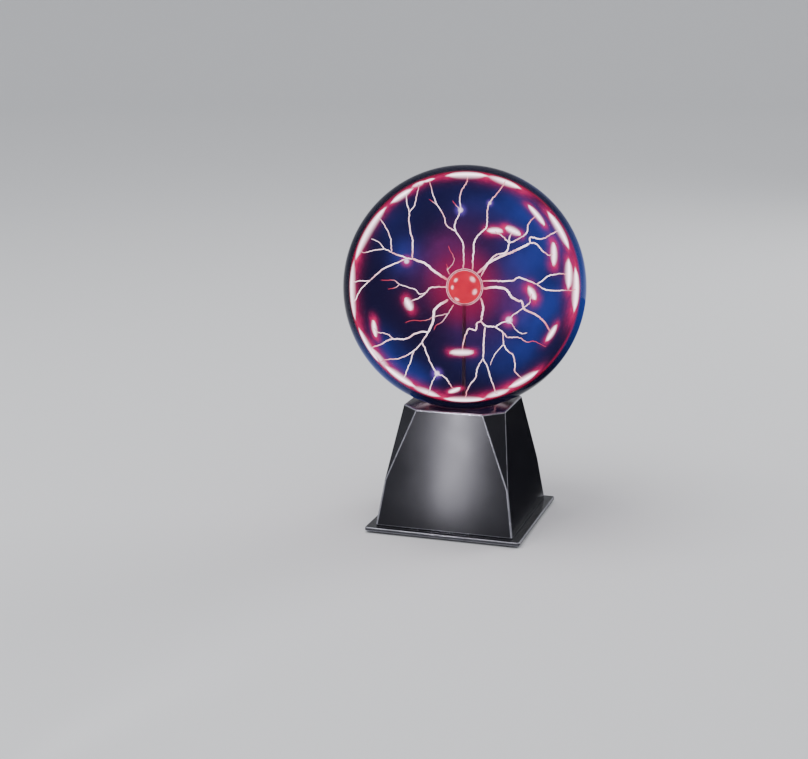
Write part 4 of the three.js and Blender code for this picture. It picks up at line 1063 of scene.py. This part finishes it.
def streamerTube(entry, draw):
    # The course in space, then rings of points round it. Returns the points, the corner numbers
    # and how white each point is.
    d = discharge
    startThick, endThick, startDepth, endDepth = entry[:4]
    flat = np.array(entry[4:], float)
    share = np.concatenate([[0], np.cumsum(np.linalg.norm(np.diff(flat, axis=0), axis=1))])
    share /= share[-1]
    toWall = abs(endDepth) == 9
    if toWall:
        endDepth = wallDepth(*flat[-1], math.copysign(1, endDepth))
    depth = startDepth + (endDepth - startDepth) * share ** 1.25
    bends = smoothThrough(np.concatenate([flat, depth[:, None]], 1), d["stepsPerSpan"])
    parts = np.ceil(np.linalg.norm(np.diff(bends, axis=0), axis=1) / d["reach"]).astype(int)
    knotAt = np.concatenate([[0], np.cumsum(parts)])
    steps = np.arange(knotAt[-1] + 1)
    bends = np.stack([np.interp(steps, knotAt, bends[:, k]) for k in range(3)], 1)
    apart = np.linalg.norm(bends[2:] - bends[:-2], axis=1, keepdims=True) / (2 * d["reach"])
    bends[1:-1] += draw.normal(0, d["wander"], (len(bends) - 2, 3)) * (0.08, 0.08, 1) * apart
    course = np.array([inSpace(*bend) for bend in bends])
    course = smoothThrough(course, d["stepsPerSpan"])
    along = np.linspace(0, 1, len(course))
    course[1:-1] += draw.normal(0, d["ripple"], (len(course) - 2, 3))
    course *= np.minimum(1, 0.99 / np.linalg.norm(course, axis=1, keepdims=True))
    tangent = np.gradient(course, axis=0)
    tangent /= np.linalg.norm(tangent, axis=1, keepdims=True)
    axes = np.stack(viewAxes())
    side = np.cross(tangent, axes[int(np.argmin(np.abs(axes @ (course[-1] - course[0]))))])
    side /= np.linalg.norm(side, axis=1, keepdims=True)
    other = np.cross(tangent, side)
    thick = d["thickest"] * (startThick + (endThick - startThick) * along)
    thick[[0, -1]] *= 0.3
    around = np.linspace(0, 2 * math.pi, d["sides"], endpoint=False)
    ring = (np.cos(around)[None, :, None] * side[:, None]
            + np.sin(around)[None, :, None] * other[:, None])
    rings = course[:, None] * gas["radius"] + ring * thick[:, None, None]
    ends = [np.repeat(rings[k].mean(0)[None, None], d["sides"], 1) for k in (0, -1)]
    capped = np.concatenate([ends[0], rings, ends[1]])
    white = np.clip((np.linalg.norm(course, axis=1) - 0.16) / 0.12, 0.35, 1)
    late = np.clip((along - 0.4) / 0.6, 0, 1)
    if toWall:
        white = white * (1 - 0.9 * late)
    elif endThick <= 0.15:
        white = white * (1 - np.clip(along * 1.5, 0, 0.97))
    white = np.concatenate([white[:1], white, white[-1:]])
    return (capped.reshape(-1, 3) + globeCentre, gridQuads(len(capped), d["sides"]),
            np.repeat(white, d["sides"]))


def makeStreamers():
    draw = np.random.default_rng(discharge["seed"])
    points, quads, whites, count = [], [], [], 0
    for entry in streamers:
        tube, corners, white = streamerTube(entry, draw)
        points.append(tube)
        quads.append(corners + count)
        whites.append(white)
        count += len(tube)
    mesh = makeMesh("streamers", np.concatenate(points), np.concatenate(quads),
                    {"whiteness": np.concatenate(whites)})
    closeMesh(mesh)
    material, tree, shader = newMaterial("streamerGlow")
    hot = math2(tree, "MULTIPLY", readValue(tree, "whiteness"),
                flicker(tree, objectSpace(tree), 110.0, 0.35, 1.25), clamp=True)
    feed(tree, shader, {
        "Emission Color": mixColors(tree, hot, (*discharge["cool"], 1), (*discharge["hot"], 1)),
        "Emission Strength": 1.0, "Base Color": (0.1, 0.02, 0.05, 1)})
    addPiece("streamers", mesh, [material])
    print("streamers:", len(mesh.polygons), "faces")


# ---------- electrode and its stem ----------

electrode = {
    "radius": 11.2 * mm,
    "bulb": 12.5 * mm,
    "bulbWall": 1.0 * mm,
    "stem": 4.0 * mm,
    "stemWall": 1.2 * mm,
    "flare": 14.0 * mm,
    "hazeRadius": 32.0 * mm,
    "red": (1.35, 0.022, 0.035),
    # rim: white-pink of the painted highlight spots on the electrode and of the painted highlight
    # along the bulb's edge
    "rim": (4.5, 2.4, 2.6),
    # spots: painted highlight spots on the electrode, as across, up and radius
    "spots": ((-0.53, 0.42, 2.2 * mm), (0.49, 0.48, 3.2 * mm), (-0.74, -0.02, 2.0 * mm),
              (0.63, -0.29, 3.0 * mm), (-0.46, -0.75, 2.6 * mm)),
}


def makeElectrode():
    e = electrode
    profile = arcPoints((0, globeCentre[2]), e["radius"], -90, 90, 49)
    mesh = turnedMesh("electrode", profile, 72, sharpAngle=None)
    material, tree, shader = newMaterial("electrodeGlow")
    place = objectSpace(tree)
    right, up, towards = viewAxes()
    # Painted highlight spots, set for the viewing angle and mirrored to the back of the ball
    spots = []
    for across, rise, size in e["spots"]:
        depth = math.sqrt(1 - across ** 2 - rise ** 2)
        for side in (depth, -depth):
            at = globeCentre + (right * across + up * rise + towards * side) * e["radius"]
            spots.append((at, size, 0.9))
    paintedLightSpots = roundSpots(tree, place, spots, 0.3 * mm, "MAXIMUM")
    drift = flicker(tree, place, 150.0, 0.7, 1.15)
    red = mixColors(tree, 1.0, (*e["red"], 1), drift, "MULTIPLY")
    feed(tree, shader, {"Emission Color": mixColors(tree, paintedLightSpots, red, (*e["rim"], 1)),
                        "Emission Strength": 1.0, "Base Color": (0.3, 0.02, 0.02, 1),
                        "Roughness": 0.6})
    addPiece("electrode", mesh, [material], replaces=["electrode_core"])


def makeStem():
    # A flare that closes the neck, a slim tube and the bulb round the electrode, in one clear wall
    e = electrode
    centre, low = globeCentre[2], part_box("stem_glass")[0][2]
    bore, bulbIn = e["stem"] - e["stemWall"], e["bulb"] - e["bulbWall"]
    t = np.linspace(0, 1, 15)[:-1]
    wide = glass["neckRadius"] - glass["wall"] - 0.6 * mm
    outer = np.stack([e["stem"] + (wide - e["stem"]) * (1 - t) ** 2, low + e["flare"] * t], 1)
    inner = np.stack([bore + (wide - e["stemWall"] - bore) * (1 - t) ** 2, low + e["flare"] * t], 1)
    bulbStart = -math.degrees(math.acos(e["stem"] / e["bulb"]))
    boreStart = -math.degrees(math.acos(bore / bulbIn))
    outside = [*outer, [e["stem"], low + e["flare"]], [e["stem"], low + 2 * e["flare"]],
               *arcPoints((0, centre), e["bulb"], bulbStart, 90, 40)]
    inside = [*arcPoints((0, centre), bulbIn, boreStart, 90, 40)[::-1],
              [bore, low + 2 * e["flare"]], [bore, low + e["flare"]], *inner[::-1]]
    mesh = turnedMesh("stem", [*outside, *inside, outside[0]], 72, sharpAngle=40)
    material, tree, shader = newMaterial("stemGlass")
    place = objectSpace(tree)
    height = addNode(tree, "ShaderNodeSeparateXYZ", {0: place}).outputs["Z"]
    atBulb = softStep(tree, height, centre - 1.02 * e["bulb"], centre - 0.9 * e["bulb"])
    edgeOn = softStep(tree, turnedAway(tree), 0.70, 0.90)
    # Painted highlight: a white-pink glow, also made more opaque, where the bulb is seen edge-on
    paintedRimLight = math2(tree, "MULTIPLY", edgeOn, atBulb)
    wall = math2(tree, "ADD", math2(tree, "MULTIPLY", edgeOn, 0.16), 0.04)
    feed(tree, shader, {
        "Alpha": math2(tree, "MAXIMUM", wall, math2(tree, "MULTIPLY", paintedRimLight, 0.85)),
        "Emission Color": mixColors(tree, paintedRimLight, (0.004, 0.002, 0.010, 1), (*e["rim"], 1)),
        "Emission Strength": 1.0, "Base Color": (0.02, 0.015, 0.05, 1),
        "Roughness": softStep(tree, noise(tree, place, 90.0, 4.0), 0.35, 0.7, 0.03, 0.12),
        "Specular IOR Level": 0.02})
    addPiece("stem", mesh, [material], replaces=["stem_glass"])


def fadeOut(tree, power, most, drift):
    # An alpha that falls from most at the middle of a ball of light to nothing at its edge
    fade = math2(tree, "POWER", math2(tree, "SUBTRACT", 1.0, turnedAway(tree)), power)
    return math2(tree, "MULTIPLY", math2(tree, "MULTIPLY", fade, most), drift, clamp=True)


def makeElectrodeHaze():
    # A ball of red light round the electrode that fades out towards its edge
    profile = arcPoints((0, globeCentre[2]), electrode["hazeRadius"], -90, 90, 41)
    mesh = turnedMesh("electrodeHaze", profile, 64, sharpAngle=None)
    material, tree, shader = newMaterial("electrodeHaze")
    drift = flicker(tree, objectSpace(tree), 26.0, 0.75, 1.1)
    feed(tree, shader, {"Alpha": fadeOut(tree, 4.0, 0.42, drift),
                        "Emission Color": (0.75, 0.02, 0.10, 1), "Emission Strength": 1.0,
                        "Base Color": (0.02, 0.0, 0.01, 1), "Roughness": 1.0,
                        "Specular IOR Level": 0.0})
    addPiece("electrodeHaze", mesh, [material])


# ---------- glowing knots along the streamers ----------

# across, up, depth, radius in millimetres, and how violet rather than pink
knots = [(-0.04, 0.66, 0.24, 7.0, 1), (-0.50, 0.22, 0.10, 7.0, 0), (0.385, -0.28, 0.02, 9.5, 0.1),
         (-0.23, -0.745, -0.20, 7.5, 0.9), (0.21, 0.72, -0.25, 4.5, 0.9)]


def makeKnots():
    # Small balls of light that fade towards their edges
    rows, columns = 19, 32
    ball = arcPoints((0, 0), 1, -90, 90, rows)
    around = np.linspace(0, 2 * math.pi, columns, endpoint=False)
    unit = np.stack([ball[:, 0, None] * np.cos(around), ball[:, 0, None] * np.sin(around),
                     np.broadcast_to(ball[:, 1, None], (rows, columns))], -1).reshape(-1, 3)
    points, quads = [], []
    for k, (across, rise, depth, radius, _) in enumerate(knots):
        centre = globeCentre + inSpace(across, rise, depth) * gas["radius"]
        points.append(unit * radius * mm + centre)
        quads.append(gridQuads(rows, columns) + k * len(unit))
    mesh = makeMesh("knots", np.concatenate(points), np.concatenate(quads),
                    {"violetness": np.repeat([knot[4] for knot in knots], len(unit))})
    closeMesh(mesh)
    material, tree, shader = newMaterial("knotGlow")
    drift = flicker(tree, objectSpace(tree), 60.0, 0.7, 1.1)
    tint = mixColors(tree, readValue(tree, "violetness"), (1.3, 0.07, 0.32, 1),
                     (0.30, 0.17, 1.05, 1))
    heart = softStep(tree, turnedAway(tree), 0.0, 0.05, 1, 0)
    feed(tree, shader, {"Alpha": fadeOut(tree, 9.0, 0.45, drift),
                        "Emission Color": mixColors(tree, heart, tint, (3.2, 2.4, 3.4, 1)),
                        "Emission Strength": 1.0, "Base Color": (0.01, 0.0, 0.02, 1),
                        "Specular IOR Level": 0.0})
    addPiece("knots", mesh, [material])


# ---------- seat, feet, screws and rear controls ----------

trim = {
    "gasketIn": 20.5 * mm,
    "gasketOut": 24.9 * mm,
    "gasketLow": 81.5 * mm,
    "gasketGap": 0.35 * mm,
    "footRadius": 6.0 * mm,
    "jackBarrel": 3.95 * mm,
    "jackFlange": 5.6 * mm,
    "jackBore": 3.0 * mm,
    "pinRadius": 1.0 * mm,
    "leverHalf": 2.0 * mm,
    "leverHigh": 1.6 * mm,
    "baseHead": (2.9 * mm, 2.0 * mm, 1.4 * mm, 18.0 * mm),  # radius and height, then the shank's
    "switchHead": (1.9 * mm, 1.1 * mm, 0.85 * mm, 5.5 * mm),
}


def makeGasket(rubber):
    # A ring whose top follows the underside of the globe
    t = trim
    radii = np.linspace(t["gasketOut"] - 0.3 * mm, t["gasketIn"] + 0.2 * mm, 12)
    top = globeCentre[2] - np.sqrt(globeRadius ** 2 - radii ** 2) - t["gasketGap"]
    top -= 0.08 * mm * (1 + np.cos(np.arange(12) * math.pi))
    bore, rim, low, bevel = t["gasketIn"], t["gasketOut"], t["gasketLow"], 0.2 * mm
    profile = [[bore, low + bevel], [bore + bevel, low], [rim - bevel, low], [rim, low + bevel],
               [rim, top[0] - 0.3 * mm], *np.stack([radii, top], 1), [bore, top[-1] - bevel]]
    mesh = turnedMesh("seatRing", [*profile, profile[0]], 120, sharpAngle=50)
    addPiece("seatRing", mesh, [rubber], replaces=["seat_gasket"])


def makeFeet(rubber):
    # Round pads with a rolled lower edge and two shallow grooves underneath
    r, low, high = trim["footRadius"], *(corner[2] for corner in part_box("foot_1"))
    grooves = [[x * mm, z * mm] for x, z in ((0, 0), (1.7, 0), (1.9, 0.25), (2.2, 0.25), (2.4, 0),
                                              (3.5, 0), (3.7, 0.25), (4.0, 0.25), (4.2, 0))]
    rolled = arcPoints((r - 0.8 * mm, low + 0.8 * mm), 0.8 * mm, -90, 0, 7)
    profile = [*grooves, *rolled, [r, high - 0.2 * mm], [r - 0.2 * mm, high], [0, high]]
    places = [(x, y, 0) for x, y in cornerPlaces(screws["footAt"])]
    mesh = turnedMesh("feet", profile, 64, places, sharpAngle=50)
    addPiece("feet", mesh, [rubber], replaces=["foot_%d" % k for k in (1, 2, 3, 4)])


def crossScrews(name, head, places, axis, out, steel, nodes):
    # Domed heads with a cross cut into them, on ribbed shanks. Each place is the underside of a
    # head, and out is 1 or -1, the way the heads face along the axis.
    radius, high, shank, length = head
    dome = [[radius * math.cos(a), high * (0.35 + 0.65 * math.sin(a))]
            for a in np.linspace(1.45, 0, 9)]
    ridges = np.arange(0.2 * mm, length - 1.5 * shank, 0.35 * mm)
    thread = [[shank * (1 if k % 2 else 0.82), -z] for k, z in enumerate(ridges)]
    profile = np.array([[0, high], *dome, [radius, 0], *thread, [shank * 0.7, -length + shank],
                        [0, -length]])
    profile[:, 1] *= out
    mesh = turnedMesh(name, profile, 40, places, axis, sharpAngle=35)
    piece = addPiece(name, mesh, [steel], replaces=nodes)
    cuts = []
    across = [k for k in (0, 1, 2) if k != axis]
    for place in places:
        top, floorAt = place[axis] + out * high * 1.2, place[axis] + out * high * 0.3
        x, y = (place[k] for k in across)
        for wide, slim in ((0.62, 0.13), (0.13, 0.62)):
            box = roundedBox((x - radius * wide, y - radius * slim),
                             (x + radius * wide, y + radius * slim))
            cuts.append(pushedShape(box, min(top, floorAt), max(top, floorAt), axis))
    shapePiece(piece, [], cuts)


def makeJack(plastic, nickel):
    # A barrel through the rear wall with a flange outside it, bored out round a centre pin
    t, panel = trim, rearPanel
    low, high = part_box("dc_jack_body")
    back, mouth, wall = low[1], high[1], panel["face"] + 0.3 * mm
    bore, flange, inner = t["jackBore"], t["jackFlange"], t["pinRadius"] + 0.3 * mm
    barrel = t["jackBarrel"]
    profile = [[inner, back], [barrel - 0.2 * mm, back], [barrel, back + 0.2 * mm],
               [barrel, wall], [flange, wall],
               *arcPoints((flange - 0.5 * mm, mouth - 0.5 * mm), 0.5 * mm, 0, 90, 6),
               [bore + 1.3 * mm, mouth], [bore + 1.1 * mm, mouth - 0.2 * mm],
               [bore + 0.8 * mm, mouth - 0.2 * mm], [bore + 0.6 * mm, mouth],
               *arcPoints((bore + 0.4 * mm, mouth - 0.4 * mm), 0.4 * mm, 90, 180, 5),
               [bore, mouth - 9.7 * mm], [inner, mouth - 9.7 * mm], [inner, back]]
    at = [(panel["jack"], 0, panel["controls"])]
    mesh = turnedMesh("inlet", profile, 72, at, axis=1, sharpAngle=40)
    addPiece("inlet", mesh, [plastic], replaces=["dc_jack_body"])
    low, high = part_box("dc_jack_pin")
    pin = t["pinRadius"]
    profile = [[0, low[1]], [pin, low[1]], *arcPoints((0, high[1] - pin), pin, 0, 90, 10)]
    mesh = turnedMesh("inletPin", profile, 32, at, axis=1, sharpAngle=50)
    addPiece("inletPin", mesh, [nickel], replaces=["dc_jack_pin"])


def makeLever(plastic):
    # The slide switch's lever: a guided slab inside, and a ridged thumb piece in the slot
    t, panel = trim, rearPanel
    low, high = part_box("switch_lever")
    x, z = (low[0] + high[0]) / 2, panel["controls"]
    half, tall = t["leverHalf"], t["leverHigh"]
    tip = high[1] - 0.4 * mm
    stem = pushedShape(roundedBox((x - half, z - tall), (x + half, z + tall), 0.35 * mm),
                       low[1] + 1.4 * mm, tip, 1)
    mesh = stem.data
    bpy.data.objects.remove(stem)
    mesh.name = "switchLever"
    piece = addPiece("switchLever", mesh, [plastic], body="switch_slider",
                     replaces=["switch_lever"])
    added = [pushedShape(roundedBox((low[0], low[2]), (high[0], high[2]), 0.3 * mm),
                         low[1], low[1] + 2.2 * mm, 1)]
    for shift in (-1.3, 0, 1.3):
        middle, foot, crest = x + shift * mm, 0.35 * mm, 0.22 * mm
        ridge = [(middle - foot, tip - 0.2 * mm), (middle + foot, tip - 0.2 * mm),
                 (middle + crest, high[1]), (middle - crest, high[1])]
        added.append(pushedShape(ridge, z - tall + 0.15 * mm, z + tall - 0.15 * mm, 2))
    shapePiece(piece, added, [])


# ---------- whole ball ----------

screws = {
    "baseAt": 36.2 * mm,
    "footAt": 45.0 * mm,
    "collarAt": 30.0 * mm / math.sqrt(2),
    "boardAt": [(x * mm, y * mm) for x in (-32, 32) for y in (-28, 20)],
}

rearPanel = {
    "face": 42.6 * mm,
    "half": 25.0 * mm,
    "low": 12.0 * mm,
    "high": 30.0 * mm,
    "controls": 21.0 * mm,
    "jack": -15.0 * mm,
    "microphone": -3.0 * mm,
    "switch": 13.0 * mm,
    "switchScrews": (5.5 * mm, 20.5 * mm),
}

# Finish of each CAD node that stays: two tones, smoothest and roughest, grain scale, relief, metal
finishes = {
    "innerPlastic": (("globe_collar",),
                     (0.022, 0.022, 0.024), (0.034, 0.034, 0.036), 0.45, 0.62, 1500, 0.2, 0),
    "softRubber": (("microphone_sleeve",),
                   (0.012, 0.012, 0.013), (0.022, 0.022, 0.023), 0.6, 0.85, 1100, 0.3, 0),
    "footRubber": ((), (0.016, 0.016, 0.016), (0.03, 0.03, 0.03), 0.7, 0.92, 900, 0.4, 0),
    "screwSteel": (("collar_screw_", "board_screw_", "transistor_screw", "switch_frame"),
                   (0.50, 0.50, 0.52), (0.62, 0.62, 0.63), 0.25, 0.42, 2200, 0.08, 1),
    "contactNickel": (("dc_jack_nut", "dc_jack_lug", "switch_terminal_"),
                      (0.62, 0.60, 0.55), (0.74, 0.71, 0.66), 0.22, 0.36, 1800, 0.06, 1),
    "boardMask": (("driver_board",), (0.010, 0.11, 0.035), (0.018, 0.16, 0.055),
                  0.3, 0.5, 1300, 0.1, 0),
    "ferriteCeramic": (("core_lower", "core_upper"), (0.035, 0.035, 0.040), (0.06, 0.06, 0.065),
                       0.65, 0.85, 1700, 0.35, 0),
    "bobbinPlastic": (("primary_bobbin",), (0.62, 0.58, 0.47), (0.72, 0.68, 0.56),
                      0.5, 0.65, 1200, 0.12, 0),
    "copperWire": (("primary_winding", "switch_contact"), (0.48, 0.17, 0.06), (0.64, 0.26, 0.11),
                   0.28, 0.45, 1600, 0.3, 1),
    "coilResin": (("high_voltage_coil",), (0.02, 0.014, 0.026), (0.04, 0.03, 0.05),
                  0.3, 0.55, 700, 0.15, 0),
    "sawnAluminium": (("heat_sink", "microphone",), (0.52, 0.53, 0.54), (0.66, 0.67, 0.68),
                      0.35, 0.52, 2400, 0.15, 1),
    "chipPlastic": (("power_transistor", "timer_chip"), (0.014, 0.014, 0.015),
                    (0.024, 0.024, 0.025), 0.5, 0.7, 2000, 0.25, 0),
    "capacitorSleeve": (("supply_capacitor", "filter_capacitor"), (0.012, 0.026, 0.11),
                        (0.02, 0.04, 0.15), 0.25, 0.4, 900, 0.06, 0),
    "filmResin": (("film_capacitor",), (0.25, 0.03, 0.018), (0.35, 0.05, 0.03),
                  0.3, 0.5, 800, 0.12, 0),
    "resistorCoat": (("resistor_",), (0.55, 0.38, 0.20), (0.66, 0.48, 0.27),
                     0.4, 0.6, 1500, 0.12, 0),
    "phenolicSheet": (("switch_base",), (0.13, 0.065, 0.028), (0.20, 0.10, 0.045),
                      0.55, 0.75, 1400, 0.25, 0),
    "redInsulation": (("supply_wire_positive",), (0.42, 0.02, 0.015), (0.55, 0.04, 0.03),
                      0.4, 0.6, 1000, 0.1, 0),
    "blackInsulation": (("supply_wire_negative", "high_voltage_lead"),
                        (0.014, 0.014, 0.014), (0.03, 0.03, 0.03), 0.4, 0.6, 1000, 0.1, 0),
    "whiteInsulation": (("microphone_wire_", "switch_wire_"), (0.62, 0.61, 0.57),
                        (0.75, 0.74, 0.70), 0.4, 0.6, 1000, 0.1, 0),
}


def dressNodes():
    # Gives each listed node its finish: a name that ends in _ stands for all that start with it
    made = {}
    for name, (nodes, toneA, toneB, smooth, rough, scale, bump, metal) in finishes.items():
        material = makeGrained(name, toneA, toneB, smooth, rough, float(scale), bump,
                               dust=0.08, metal=float(metal))[0]
        starts = tuple(entry for entry in nodes if entry.endswith("_"))
        for key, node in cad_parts.items():
            if key in nodes or key.startswith(starts):
                for slot in node.material_slots:
                    slot.material = material
        made[name] = material
    return made


makeCamera()
makeStudio()
print("camera, floor and lights placed")
housingPiece = makeHousing()
makePlinth(housingPiece.data.materials[0])
made = dressNodes()
print("nodes dressed in", len(made), "finishes")
makeGlobe()
makeGas()
makeStreamers()
makeKnots()
makeElectrode()
makeStem()
makeElectrodeHaze()
makeGasket(made["softRubber"])
makeFeet(made["footRubber"])
crossScrews("baseScrews", trim["baseHead"],
            [(x, y, 5.3 * mm) for x, y in cornerPlaces(screws["baseAt"])],
            2, -1, made["screwSteel"], ["base_screw_%d" % k for k in (1, 2, 3, 4)])
crossScrews("switchScrews", trim["switchHead"],
            [(x, rearPanel["face"] + 0.3 * mm, rearPanel["controls"])
             for x in rearPanel["switchScrews"]],
            1, 1, made["screwSteel"], ["switch_screw_1", "switch_screw_2"])
makeJack(made["innerPlastic"], made["contactNickel"])
makeLever(made["innerPlastic"])
print("seat, feet, screws and rear controls made")

bpy.context.view_layer.update()
